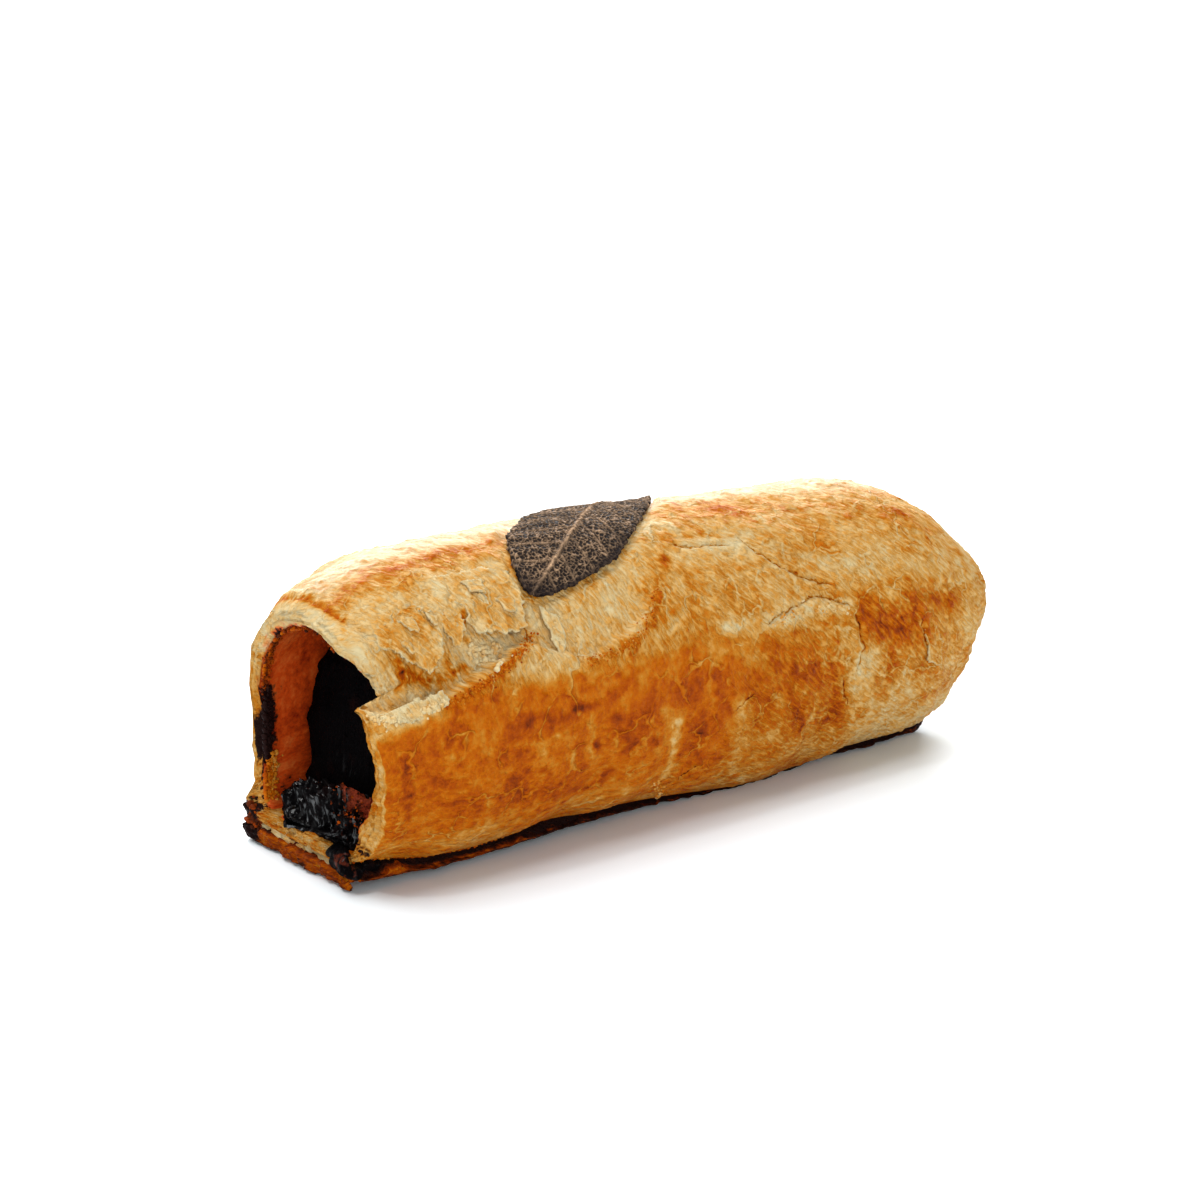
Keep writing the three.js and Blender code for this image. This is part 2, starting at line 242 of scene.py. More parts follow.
def outward(section, q, step=0.01):
    """Y and Z of the outward normal of a section's outline at q."""
    y0, z0 = outline(section, q - step)
    y1, z1 = outline(section, q + step)
    long = np.hypot(y1 - y0, z1 - z0)
    return (z1 - z0) / long, -(y1 - y0) / long


def along_at(s, q):
    """X of a place on the roll: the rim is set back at the mouth, and the far end slants in."""
    notch = RIM_NOTCH * band(q, 0.26, 0.66, 0.675, 0.705)
    flap = RIM_FLAP * band(q, 0.675, 0.705, 0.71, 1.0)
    setback = (1 - smoothstep(np.abs(q), 1.3, 1.7)) * (0.5 + 0.35 * np.sin(5 * q + 1) + notch - flap)
    at_rim = clamp01(1 - s / RIM_RUN) ** 2
    at_nose = clamp01((s - LENGTH + NOSE_SLANT_RUN) / NOSE_SLANT_RUN) ** 2
    slant = NOSE_SLANT * smoothstep(np.abs(q), 0.7, 1.8)
    return s + setback * at_rim - slant * at_nose - LENGTH / 2


def raised(section, s, q, height):
    """Places at a height over a section's smooth outline."""
    y, z = outline(section, q)
    ny, nz = outward(section, q)
    return np.stack([along_at(s, q), y + height * ny, z + height * nz], -1)


# %% [markdown]
# ## The outline of the leaf
# The pastry is smooth and a little sunk where the sage leaf lies, so the leaf's outline is needed before
# the crust. Its midrib runs from the tip, low on the front, up across the top of the roll.

# %% Leaf outline
LEAF_LENGTH = 58.0
LEAF_FRONT = 8.6
LEAF_BACK = 9.0
LEAF_THICK = 0.6
LEAF_GAP = 0.4
LEAF_BED = 0.6
LEAF_TIP = (33.4, 17.9)
LEAF_TURN = np.radians(-36.5)


def leaf_half(t, side):
    tip = np.where(side > 0, 2.1 * t**0.62, 2.3 * t**0.5)
    widest = np.where(side > 0, LEAF_FRONT, LEAF_BACK)
    return widest * np.maximum(0.06, np.minimum(1, tip) * (1 - t**6) ** 0.8)


def under_leaf(s, g):
    """1 under the leaf, 0 clear of it."""
    ds, dg = s - LEAF_TIP[0], g - LEAF_TIP[1]
    along = ds * np.cos(LEAF_TURN) + dg * np.sin(LEAF_TURN)
    across = dg * np.cos(LEAF_TURN) - ds * np.sin(LEAF_TURN)
    aside = np.abs(across) - leaf_half(clamp01(along / LEAF_LENGTH), across)
    past = np.maximum(np.maximum(-along, along - LEAF_LENGTH), aside)
    return 1 - smoothstep(past, 0.6, 2.2)


# %% [markdown]
# ## The torn shoulder
# As the roll puffed up, its crust tore open in front of the mouth and under the leaf. Below the tear
# the brown crust stands up in a crumbly lip, and above it the pale inner layers lie lower. The edge
# is a line of places read along the roll, made ragged with noise.

# %% Tear
TEAR_ALONG = [-2, 1, 5, 13, 22, 29, 34, 39, 45, 52, 59]
TEAR_ROUND = [0.69, 0.74, 0.815, 0.815, 0.755, 0.67, 0.72, 0.79, 0.77, 0.69, 0.53]
TEAR_END = 59.0
TEAR_DEPTH = 2.4
TEAR_LIP = 0.75


def above_tear(s, g):
    """Girth from a place down to the tear's ragged edge: positive on the torn side."""
    edge = GIRTH * np.interp(s, TEAR_ALONG, TEAR_ROUND)
    return edge + 0.8 * grain(s, 0 * g, 2.6, 1, 1) + 0.5 * grain(s, g, 0.9, 1.8, 2) - g


def tear_strength(s):
    fade = 1 - 0.5 * smoothstep(s, 20, 40) - 0.5 * smoothstep(s, 50, TEAR_END + 2)
    return clamp01(fade)


def torn_mask(s, g, above):
    """1 where the pale inner layers are laid open."""
    upper = 10 + 2.5 * grain(s, g, 4, 4, 3) + 10 * band(s, 31, 34, 36, 52)
    laid_open = smoothstep(above, -0.2, 0.5) * smoothstep(g, upper - 1.2, upper + 1.2)
    return laid_open * (1 - smoothstep(s, TEAR_END - 3, TEAR_END + 1))


# %% [markdown]
# ## Folds, flakes, cracks and blisters
# The rest of the relief is lower: soft folds round the flanks, plates where a layer has lifted,
# strands in the torn part, cracks in the crust and many small blisters. Each is a height in
# millimetres over the sheet, and the heights are added up.

# %% Cracks and flakes
FOLD_PITCH = 17.0
FOLD_HEIGHT = 0.45
SWELL_PITCH = 100.0
SWELL_HEIGHT = 0.6
FLAKE_STEP = 0.6
FLAKES = [
    (92, 12, 34, 11, 28),
    (104, 30, 26, 13, 6),
    (120, 22, 22, 12, -14),
    (88, -20, 40, 14, -20),
    (46, -30, 38, 13, 12),
    (112, -34, 30, 12, 24),
    (20, -18, 26, 11, -10),
]
CRACKS = [
    [(80, 14.5), (82, 18), (86, 21.5), (90, 24), (95, 26)],
    [(80, 30), (85, 29), (90, 27.8), (94, 28), (98, 30)],
    [(66, 13.5), (70, 14.5), (76, 15)],
    [(31.5, 18.5), (30.5, 22), (31, 25)],
    [(100, 32), (101, 37), (100, 41)],
    [(97, 43), (98, 47)],
    [(62, 59), (63.5, 56.5), (65, 55.5)],
    [(72, 42), (75, 40.8)],
    [(116, 35), (117.5, 39), (120, 41)],
    [(20, -25), (27, -22), (34, -23)],
    [(60, -30), (68, -27), (78, -29), (84, -28)],
    [(98, -14), (104, -18), (112, -18)],
]


def stroke_distance(s, g, start, end):
    """Distance on the sheet from a straight stroke."""
    ds, dg = end[0] - start[0], end[1] - start[1]
    t = clamp01(((s - start[0]) * ds + (g - start[1]) * dg) / (ds * ds + dg * dg + 1e-9))
    return np.hypot(s - start[0] - t * ds, g - start[1] - t * dg)


def crack_distance(s, g):
    """Distance from the nearest crack, positive on one side of it and negative on the other."""
    s = s + 0.6 * grain(s, g, 1.6, 1.6, 4)
    g = g + 0.6 * grain(s, g, 1.6, 1.6, 5)
    nearest, side = 0 * s + 9.0, 0 * s + 1.0
    for line in CRACKS:
        for start, end in zip(line, line[1:]):
            apart = stroke_distance(s, g, start, end)
            turn = (end[0] - start[0]) * (g - start[1]) - (end[1] - start[1]) * (s - start[0])
            side = np.where(apart < nearest, np.where(turn < 0, -1.0, 1.0), side)
            nearest = np.minimum(nearest, apart)
    return side * nearest


def fold_relief(s, g):
    low = smoothstep(np.abs(g), 0.7 * GIRTH, 1.3 * GIRTH)
    phase = 2 * np.pi * (s + 0.12 * g + 2.5 * np.sin(g / 11)) / FOLD_PITCH
    folds = FOLD_HEIGHT * low * (0.7 * np.sin(phase) + 0.5 * np.sin(0.62 * phase + 1.3))
    swell = SWELL_HEIGHT * (1 - low) * np.sin(2 * np.pi * (s - 28) / SWELL_PITCH)
    return folds + swell * (1 - near_mouth(s)) * (1 - near_nose(s))


def flake_relief(s, g):
    """Lifted plates, and how near each place is to a plate's broken edge."""
    height, edge = 0.0 * s, 0.0 * s
    wander = 0.12 * grain(s, g, 3, 3, 6, 3)
    for along, girth, length, width, turn in FLAKES:
        c, n = np.cos(np.radians(turn)), np.sin(np.radians(turn))
        run = (c * (s - along) + n * (g - girth)) / length
        across = (c * (g - girth) - n * (s - along)) / width + wander
        inside = bump(run * 2.2) * smoothstep(across, -0.5, 0.5)
        height = height + FLAKE_STEP * inside * (1 - smoothstep(across, 0.55, 0.66))
        edge = np.maximum(edge, inside * bump((across - 0.62) / 0.09))
    return height, edge


# %% [markdown]
# ## Browning
# The oven browns a roll unevenly, with dark spots on blisters and cream along cracks and seams. The top is
# pale, partly as a painted highlight of the washed-out crest, and low on the front the crust is deep
# orange brown, partly as painted shade. A number from 0, cream, to 1, burnt, is kept at each point.
# Broad steps give the main fields and strokes of a given width add what is seen on them.

# %% Strokes of colour
# each stroke is from (s, g) to (s, g), its width, and how much browner it makes the crust
BROWN_STROKES = [
    ((2, 5), (30, 7), 4.0, 0.12),
    ((21, 5), (30, 5), 1.2, 0.14),
    ((11.5, 11.5), (12.5, 14), 1.2, 0.30),
    ((12, 31.4), (20, 30), 0.8, 0.22),
    ((20, 30), (25, 27.6), 0.8, 0.22),
    ((25, 27.6), (31, 24.6), 0.7, 0.22),
    ((41, 29.8), (50, 28.6), 1.1, 0.24),
    ((50, 28.6), (55, 26), 1.4, 0.28),
    ((55, 26), (58, 20), 1.4, 0.22),
    ((61.5, 17), (62.5, 16), 0.8, 0.40),
    ((64.5, 20), (64.5, 22), 1.9, 0.24),
    ((12.5, 36.4), (12.5, 36.4), 0.6, 0.30),
    ((26.5, 36.2), (28.0, 36.2), 0.7, 0.24),
    ((41.5, 43.5), (41.6, 44), 0.8, 0.30),
    ((37, 36.2), (40, 36.6), 0.7, 0.22),
    ((44, 39), (46, 39.2), 0.7, 0.22),
    ((119, 13), (120, 14), 1.0, 0.30),
    ((123, 20), (125, 20), 0.8, 0.30),
    ((124, 28.5), (124.5, 28.5), 0.7, 0.34),
    ((4.2, 37), (4.8, 50), 0.9, 0.20),
    ((10, 43), (12, 50), 2.6, 0.10),
    ((25, 40), (30, 56), 4.0, 0.10),
    ((60, 33), (66, 50), 4.0, 0.08),
    ((73, 37), (90, 38.5), 2.2, 0.15),
    ((86, 46), (87, 49), 1.2, 0.25),
    ((94.5, 41), (95.5, 52), 1.6, 0.16),
    ((108, 40), (109, 45), 1.8, 0.18),
    ((102, 33), (114, 36), 3.4, 0.40),
    ((115, 30.5), (126, 32), 2.6, 0.28),
    ((105, 44), (107, 48), 2.2, 0.16),
    ((70, 6), (94, 5), 3.6, 0.15),
    ((95, 9), (110, 10), 0.9, 0.10),
    ((110, 13), (124, 17), 2.0, 0.08),
    ((128, 40), (136, 55), 3.0, 0.10),
]
PALE_STROKES = [
    ((0, 31.6), (12, 32.6), 1.2, 0.20),
    ((33.5, 21), (35, 29), 1.3, 0.16),
    ((54, 12), (66, 7), 3.2, 0.36),
    ((68, 13.5), (79, 15.5), 1.4, 0.24),
    ((55, 40), (58.5, 44), 1.4, 0.14),
    ((58.5, 42), (58, 58), 1.2, 0.34),
    ((40, 38), (40.3, 46), 0.6, 0.18),
    ((23, 39.5), (35, 40), 0.6, 0.16),
    ((19.8, 50), (20.2, 60), 0.8, 0.22),
    ((70, 29.8), (98, 30.2), 1.4, 0.32),
    ((99.5, 41), (100, 54), 1.2, 0.18),
    ((90, 44), (90.5, 52), 0.9, 0.16),
    ((113, 42), (114, 50), 1.2, 0.14),
    ((72, 34), (78, 36), 1.0, 0.14),
    ((72.5, 42), (73.5, 60), 1.8, 0.20),
    ((81, 42), (83, 47), 0.9, 0.18),
    ((81, 51), (90, 58), 2.8, 0.14),
    ((99, 32), (101, 42), 2.2, 0.26),
    ((102, 50), (118, 58), 5.0, 0.11),
    ((104, 25), (130, 25), 4.0, 0.03),
    ((128, 34), (133, 48), 3.0, 0.06),
    ((44, 21), (50, 24), 3.4, 0.12),
]

# the same for the layers that the tear laid open: amber patches, and along the lower edge of the
# largest loose flake, the first two strokes, painted shade under it
AMBER_AND_SHADE_STROKES = [
    ((3.6, 20.6), (6.0, 23.6), 2.2, 0.58),
    ((8.2, 25.8), (13.8, 28.0), 1.8, 0.50),
    ((5.4, 24.8), (6.6, 27.0), 1.0, 0.10),
    ((15.3, 24.4), (16.0, 27.0), 1.0, 0.46),
    ((17.5, 27.2), (18.3, 28.0), 0.9, 0.46),
    ((20.2, 18), (19.3, 23), 0.5, 0.45),
    ((14.2, 20), (13.8, 23), 0.9, 0.24),
]


def paint(s, g, strokes):
    """The sum of strokes with ragged edges."""
    s = s + 0.7 * grain(s, g, 2.2, 2.2, 7) + 0.25 * grain(s, g, 0.6, 0.6, 8)
    g = g + 0.7 * grain(s, g, 2.2, 2.2, 9)
    broken = 0.75 + 0.5 * grain(s, g, 0.9, 0.9, 28, 3)
    laid = [amount * bump(stroke_distance(s, g, a, b) / width) for a, b, width, amount in strokes]
    return broken * sum(laid)


BELLY_TONE_AND_SHADE = 0.62
UPPER_TONE = 0.32
BACK_TONE = 0.32
CREST_PALE_AND_HIGHLIGHT = 0.12


def browning(s, g):
    """How brown the crust is before it was torn, from 0 to 1, with a painted highlight on the crest and
    painted shade low on the front.
    """
    low = lerp(smoothstep(g, 29, 33), smoothstep(g, 20, 40), smoothstep(s, 44, 62))
    towards_end = smoothstep(s, 62, 112)
    # the belly's deep brown is browning, and partly painted shade low on the front
    belly = BELLY_TONE_AND_SHADE - 0.11 * smoothstep(g, 52, 62) - 0.10 * towards_end
    belly = belly - 0.14 * low * smoothstep(s, 98, 106)
    upper = UPPER_TONE + 0.01 * towards_end
    # paler at the crest: partly a painted highlight of the washed-out top
    front = lerp(upper, belly, low) - CREST_PALE_AND_HIGHLIGHT * smoothstep(6 - g, 0, 8)
    back = BACK_TONE + 0.26 * smoothstep(-g, 8, 36)
    brown = np.where(g > 0, front, lerp(front, back, smoothstep(-g, 7, 18)))
    brown = brown - 0.08 * near_nose(s, 26) - lerp(0.02, 0.16, smoothstep(-g, 8, 30)) * near_mouth(s, 14)
    patches = 0.10 * grain(s, g, 14, 11, 10, 3) + 0.09 * grain(s, g, 3.6, 3.6, 11, 3)
    return brown + patches + paint(s, g, BROWN_STROKES) - paint(s, g, PALE_STROKES)


# %% [markdown]
# ## Rolling a sheet into a piece
# Blender can sculpt such a form by hand, but a roll of pastry is a sheet, so it is made as one: a flat
# grid is moved into place point by point, its meeting edges are merged, and its faces are turned
# outwards. Marks such as the browning go with the points as attributes, and the flat sheet is its UV map.

# %% Sheet to piece


def sheet_mesh(name, points, flat, marks, thick=0.0, keep=None):
    """A grid rolled into shape. points and flat, the UV map, are rows by columns in millimetres."""
    rows, columns = points.shape[0] - 1, points.shape[1] - 1
    bm = bmesh.new()
    bmesh.ops.create_grid(bm, x_segments=columns, y_segments=rows, size=0.5)
    mesh = bpy.data.meshes.new(name)
    bm.to_mesh(mesh)
    place = np.empty(3 * len(mesh.vertices))
    mesh.vertices.foreach_get("co", place)
    i = np.rint((place[0::3] + 0.5) * columns).astype(int)
    j = np.rint((place[1::3] + 0.5) * rows).astype(int)
    mesh.vertices.foreach_set("co", np.ravel(points[j, i] * MM))
    add_marks(mesh, {key: values[j, i] for key, values in marks.items()}, flat[j, i])
    bm.clear()
    bm.from_mesh(mesh)
    if keep is not None:
        kept = keep[j, i]
        cut = [face for face in bm.faces if not all(kept[v.index] for v in face.verts)]
        bmesh.ops.delete(bm, geom=cut, context="FACES")
        edge = [v for v in bm.verts if v.is_boundary]
        bmesh.ops.smooth_vert(bm, verts=edge, factor=0.5, use_axis_x=True, use_axis_y=True, use_axis_z=True)
    bmesh.ops.remove_doubles(bm, verts=bm.verts, dist=1e-6)
    bmesh.ops.recalc_face_normals(bm, faces=bm.faces)
    if thick:
        bmesh.ops.solidify(bm, geom=bm.faces, thickness=thick * MM)
    bm.to_mesh(mesh)
    bm.free()
    return mesh


def add_marks(mesh, marks, flat):
    """Give a mesh its marks and its place on the flat sheet, one of each for each vertex."""
    for key, values in marks.items():
        mesh.attributes.new(key, "FLOAT", "POINT").data.foreach_set("value", values.astype(np.float32))
    corner = np.empty(len(mesh.loops), dtype=np.int32)
    mesh.loops.foreach_get("vertex_index", corner)
    sheet = mesh.uv_layers.new(name="sheet")
    sheet.data.foreach_set("uv", np.ravel(flat[corner] * MM))


def to_mesh(bm, name):
    """A bmesh as a new mesh. The bmesh is freed."""
    mesh = bpy.data.meshes.new(name)
    bm.to_mesh(mesh)
    bm.free()
    return mesh


def piece_of(name, meshes):
    """One object of one or more meshes, shaded smooth."""
    bm = bmesh.new()
    for part in meshes:
        bm.from_mesh(part)
    for face in bm.faces:
        face.smooth = True
    mesh = to_mesh(bm, name)
    print(name, len(mesh.vertices), "points", sum(len(p.vertices) - 2 for p in mesh.polygons), "triangles")
    return add_object(name, mesh)


def sheet_piece(name, points, flat, marks, thick=0.0):
    return piece_of(name, [sheet_mesh(name + "_sheet", points, flat, marks, thick)])


def stations(*spans):
    """Evenly spaced places over spans of (from, to, steps), each starting where the last one ended."""
    made = [np.array([spans[0][0]])]
    for start, end, steps in spans:
        made.append(np.linspace(start, end, steps + 1)[1:])
    return np.concatenate(made)


# %% [markdown]
# ## The whole relief of the crust
# Here the heights are put together. Under the leaf the skin is smooth, and at the rim, the seam and
# the far end the fine relief fades out, so that the edges meet cleanly.

# %% Crust relief
LAYER_STEP = 0.42
FIBRE_HEIGHT = 0.10
STRAND_HEIGHT = 0.30
BLISTER_HEIGHT = 0.18
TERRACE_HEIGHT = 0.15
WRINKLE_HEIGHT = 0.13
PEEL_HEIGHT = 0.18
CRACK_DEPTH = 0.35
CRACK_EDGE = 0.25
RIM_CREASE = 0.7


def stepped(field):
    """A field cut into flat plates with steep edges, and how near each place is to an edge."""
    part = field - np.floor(field)
    return np.floor(field) + smoothstep(part, 0.80, 1.0), bump((part - 0.86) / 0.09)


def torn_layers(s, g, torn):
    """Height and tone of the layers in the tear: plates, and long strands beside the mouth."""
    slanted = s - 0.30 * g + 1.2 * grain(s, g, 5, 9, 13)
    ragged = 0.35 * grain(slanted, g, 0.7, 2.2, 13, 3)
    plates, edge = stepped(2.2 * grain(slanted, g, 4.5, 8, 14, 2) + ragged + 0.06 * g)
    opened = torn * (1 - 0.75 * smoothstep(s, 31, 36))
    beside = 1 - smoothstep(s - 0.27 * (g - 14), 1.8, 3.4)
    strand = grain(s - 0.27 * g, 0.08 * g, 0.75, 1, 32, 2)
    fibres = FIBRE_HEIGHT * grain(slanted, g, 0.5, 3.5, 14, 3)
    height = LAYER_STEP * opened * (1 - beside) * (plates - 1)
    height = height + torn * (fibres + STRAND_HEIGHT * beside * strand)
    # amber patches, and painted shade under the edges of the loose flakes
    amber_and_shade = paint(s, g, AMBER_AND_SHADE_STROKES) * (1 - 0.8 * beside)
    tone = 0.20 + 0.07 * np.sin(2.4 * plates) * (1 - beside) - 0.10 * edge * opened - 0.12 * beside * strand
    white_patch = band(s, 19.5, 20.5, 27, 30) * smoothstep(g, 22.5, 24)
    return height, tone + amber_and_shade - 0.12 * white_patch + 0.06 * smoothstep(s, 33, 40)


def crust(s, q):
    """Height over the smooth skin, and the marks of the crust."""
    g = GIRTH * q
    above = above_tear(s, g)
    strength = tear_strength(s)
    torn = torn_mask(s, g, above)
    drop = band(above, 0, 0.8, 3.5, 13)
    crumbs = grain(s, g, 0.8, 0.8, 12, 3)
    lip = bump((above + 1.5) / 1.5) * (1 + 0.6 * crumbs)
    tear = strength * (TEAR_LIP * lip - TEAR_DEPTH * drop)
    layers, torn_tone = torn_layers(s, g, torn)
    plates, broken = flake_relief(s, g)
    terrace = stepped(3.2 * grain(s - 0.30 * g, g, 4.5, 7, 15, 3))[0]
    flaky = TERRACE_HEIGHT * (1 - torn) * (1 - smoothstep(g, 28, 36) * (1 - smoothstep(s, 66, 90)))
    cells = grain(s, g, 1.5, 1.5, 16, 2)
    blisters = BLISTER_HEIGHT * (1 - torn) * smoothstep(cells, 0.25, 0.8)
    wrinkles = WRINKLE_HEIGHT * (1 - torn) * grain(s, g, 1.1, 3.2, 17, 3)
    apart = crack_distance(s, g)
    cracks = CRACK_EDGE * bump((np.abs(apart) - 0.9) / 0.6) - CRACK_DEPTH * bump(apart / 0.45)
    peeling = PEEL_HEIGHT * smoothstep(s, 48, 66) * (1 - torn)
    peeling = peeling * grain(s - 0.9 * g, g + 0.5 * s, 1.3, 4.5, 30, 3)
    ends = band(s, 0, 3, LENGTH - 5, LENGTH)
    seam = 1 - smoothstep(np.abs(q), 1.8, 2)
    behind_rim = s - 1.0 - 1.6 * smoothstep(q, 0.15, 0.42) - 0.5 * grain(s, g, 6, 5, 33)
    crease = bump(behind_rim / 0.7) * band(q, -0.75, -0.45, 0.42, 0.55)
    fine = terrace * flaky + peeling + blisters + wrinkles - RIM_CREASE * crease + ends * (plates + cracks)
    covered = under_leaf(s, g)
    bed = np.minimum(0, tear) - LEAF_BED
    height = seam * (ends * fold_relief(s, g) + lerp(tear + layers + fine, bed, covered))
    glazed = smoothstep(g, 28, 33) * (1 - smoothstep(s + 6 * grain(s, g, 9, 9, 29), 64, 88)) * (1 - torn)
    # browner in the crease behind the rim: painted shade
    brown = browning(s, g) + 0.08 * blisters / BLISTER_HEIGHT - 0.12 * broken + 0.30 * crease
    pale_lip = 0.26 * bump((above + 0.5) / 0.7) * (1 - smoothstep(s, 11, 13))
    marks = {
        "bake": lerp(brown - pale_lip, torn_tone, torn),
        "torn": torn,
        "flaky": 1 - glazed,
        "crack": np.clip(apart, -2, 2),
        "cracked": 1 - smoothstep(np.abs(apart), 0.8, 1.3),
    }
    return height, marks


# %% [markdown]
# ## The pastry sleeve
# The sheet starts on the outside at the mouth, runs to the far end, turns in over the far rim, comes
# back as the inner wall and turns out again over the rim of the mouth, so it closes on itself both
# ways. Rows and columns are close together where the crust shows most.

# %% Pastry rows and columns
SKIN = stations((-2, -0.4, 42), (-0.4, 1, 130), (1, 2, 52))
FOOT = stations((0, 1, 6), (1, 3, 10), (3, 4, 8))[1:]
OUTER_ROWS = stations((0.8, 34, 110), (34, 62, 66), (62, 118, 98), (118, LENGTH, 34))
BORE_ROWS = stations((1, 26, 36), (26, LENGTH - 30, 10), (LENGTH - 30, LENGTH - 2, 8))
MOUTH_RIM = stations((1, 0, 17))[1:-1]
NOSE_RIM = stations((0, 1, 7))[1:-1]
RIM_BULGE = 0.9
TOP_BULGE = 1.1
THIN_LIP = 1.9
THIN_FLAP = 1.2
THICK_CORNER = 2.4
RIM_RAGGED = 0.6
LIP_CURL = 0.6
LIP_FLARE = 3.6
FOOT_LAYERS = 0.5


def foot_points(s, section, ragged):
    """Y and Z of the lower layer's edge and of the flat base, at each place of FOOT."""
    front, back, bottom = section["foot_front"], section["foot_back"], section["bottom"]
    y_seam, z_seam = outline(section, 2 + 0 * s)
    uneven = 0.75 + 0.45 * grain(s, 0 * s, 5, 1, 27, 3)
    lift = FOOT_LIFT_SHARE * section["seam"]
    low = np.minimum(bottom, NOSE_LIFT * near_nose(s, BASE_LIFT_RUN))
    thick = (section["seam"] - 0.4) * uneven - lift + 0.7 * (bottom - low)
    thick = np.clip(thick, 0, z_seam - low - lift)
    stops = [0, 1, 1.4, 3, 3.375, 3.625, 4]
    ys = [y_seam, -front + 0.6 + ragged, -front - 0.3 + ragged, -front + 0.2 + 0.5 * ragged,
          -front + FOOT_INSET, -front + FOOT_INSET + 0.4, back + 0 * s]
    zs = [z_seam, low + lift + thick, low + lift + 0.8 * thick, low + lift, low + 1.1 * lift, low, bottom]
    k = np.minimum(np.searchsorted(stops, FOOT, side="right") - 1, len(stops) - 2)
    t = (FOOT - np.take(stops, k)) / (np.take(stops, k + 1) - np.take(stops, k))
    y, z = [lerp(np.stack(v)[k], np.stack(v)[k + 1], t[:, None]).T for v in (ys, zs)]
    on_edge = band(FOOT, 0.4, 1, 2.6, 3)
    layers = grain(s[:, None] + 0 * y, 1.3 * z + 0 * y, 3.2, 0.9, 34, 3)
    return y - FOOT_LAYERS * on_edge * layers, z


def outer_points(rows):
    s, q = over_grid(rows, SKIN)
    height, marks = crust(s, q)
    skin = raised(outer_section(s), s, q, height)
    ragged = 0.3 - 0.9 * grain(rows, 0 * rows, 3, 1, 18, 4)
    y_foot, z_foot = foot_points(rows, outer_section(rows), ragged)
    x_foot = along_at(rows, 2 + 0 * rows)[:, None] + 0 * y_foot
    return np.concatenate([skin, np.stack([x_foot, y_foot, z_foot], -1)], 1), marks


def bore_points(rows):
    s, q = over_grid(rows, SKIN)
    near = 1 - smoothstep(s, 14, 24)
    rough = near * (0.12 * grain(s, GIRTH * q, 4, 6, 19, 2) - 0.12)
    thin = THIN_LIP * band(q, 0.45, 0.8, 1.0, 1.3) + THIN_LIP * band(-q, 0.45, 0.8, 1.5, 1.9)
    thin = thin + THIN_FLAP * bump((q - 0.72) / 0.12) - THICK_CORNER * bump((q - 1.55) / 0.22)
    rough = rough + near_mouth(s, 11) * thin
    wall = raised(bore_section(s), s, q, rough)
    across = (np.arange(len(FOOT)) + 1.0)[:, None] / len(FOOT)
    floor = lerp(wall[:, -1], wall[:, 0], across[..., None]).swapaxes(0, 1)
    return np.concatenate([wall, floor], 1)


# %% Pastry piece


def curl_lip(points):
    """The back corner of the lip curled and flared in the oven."""
    x, y, z = np.moveaxis(points, -1, 0)
    corner = clamp01((y - 11) / 6) * (1 - smoothstep(z, 4, 11)) * clamp01(1 - (x + LENGTH / 2) / 8) ** 2
    return np.stack([x, y + LIP_FLARE * corner, z + LIP_CURL * corner], -1)


def rim_points(outer, inner, depths, bulge, seed):
    """Rows that turn over a rim, with the edges of the pastry's layers showing."""
    columns = np.arange(outer.shape[0]) + 0.0
    rows = []
    for depth in depths:
        row = lerp(outer, inner, depth)
        wave = grain(columns, 0 * columns + 9 * depth, 22, 1.6, seed, 3)
        layered = 0.28 * np.sin(2 * np.pi * (4.5 * depth + 0.6 * wave)) + 0.3 * wave
        row[:, 0] += np.sin(np.pi * depth) * (bulge + np.sign(bulge) * layered)
        rows.append(row)
    return np.array(rows)


def ragged_rim(points, s, q):
    """The rim is torn, so it wavers."""
    at_rim = clamp01(1 - s / 5)[:, None] ** 2
    points[..., 0] += at_rim * RIM_RAGGED * grain(GIRTH * q, 0 * q, 2.2, 1, 31, 4)
    return points


outer, crust_marks = outer_points(OUTER_ROWS)
inner = bore_points(BORE_ROWS)
column_q = np.concatenate([SKIN, np.linspace(2, 6, len(FOOT) + 1)[1:]])
outer = ragged_rim(outer, OUTER_ROWS, column_q)
inner = ragged_rim(inner, BORE_ROWS, column_q)
nose_rim = rim_points(outer[-1], inner[-1], NOSE_RIM, 0.5, 20)
rounded = RIM_BULGE + TOP_BULGE * band(column_q, -0.9, -0.5, 0.3, 0.6)
mouth_rim = rim_points(outer[0], inner[0], MOUTH_RIM, -rounded, 21)
sleeve = np.concatenate([outer, nose_rim, inner[::-1], mouth_rim, outer[:1]])
sleeve = curl_lip(np.concatenate([sleeve, sleeve[:, :1]], 1))
sleeve[..., 2] = np.maximum(sleeve[..., 2], 0)
print("sleeve", sleeve.shape)

# %% [markdown]
# ## Marks of the whole sleeve
# The outside has its browning already. The inner wall is stained dark red by the juice, and the rims
# show pale layers with burnt places. The foot and base are brown, with painted shade a little over the
# foot's edge, more in the crevice over it, along the gap under the belly and under the lifted edge, and
# plain towards the far end. All are laid out in the same rows and columns as the points.

# %% Sleeve marks
JUICE = 0.62
GLAZE = 0.5
BURNT_WALL = [
    ((1.2, -50), (2.2, -35), 2.4, 1.3),
    ((1.5, -30), (3.0, -20), 1.0, 0.5),
    ((2, -16), (2.5, 10), 0.7, 0.5),
    ((3, -66), (6, -58), 1.6, 0.5),
]


def whole_sheet(values, fill):
    """Marks of the outer rows, set to fill elsewhere, in the sleeve's own rows and columns."""
    made = np.full(sleeve.shape[:2], float(fill))
    made[: len(OUTER_ROWS), : len(SKIN)] = values
    return made


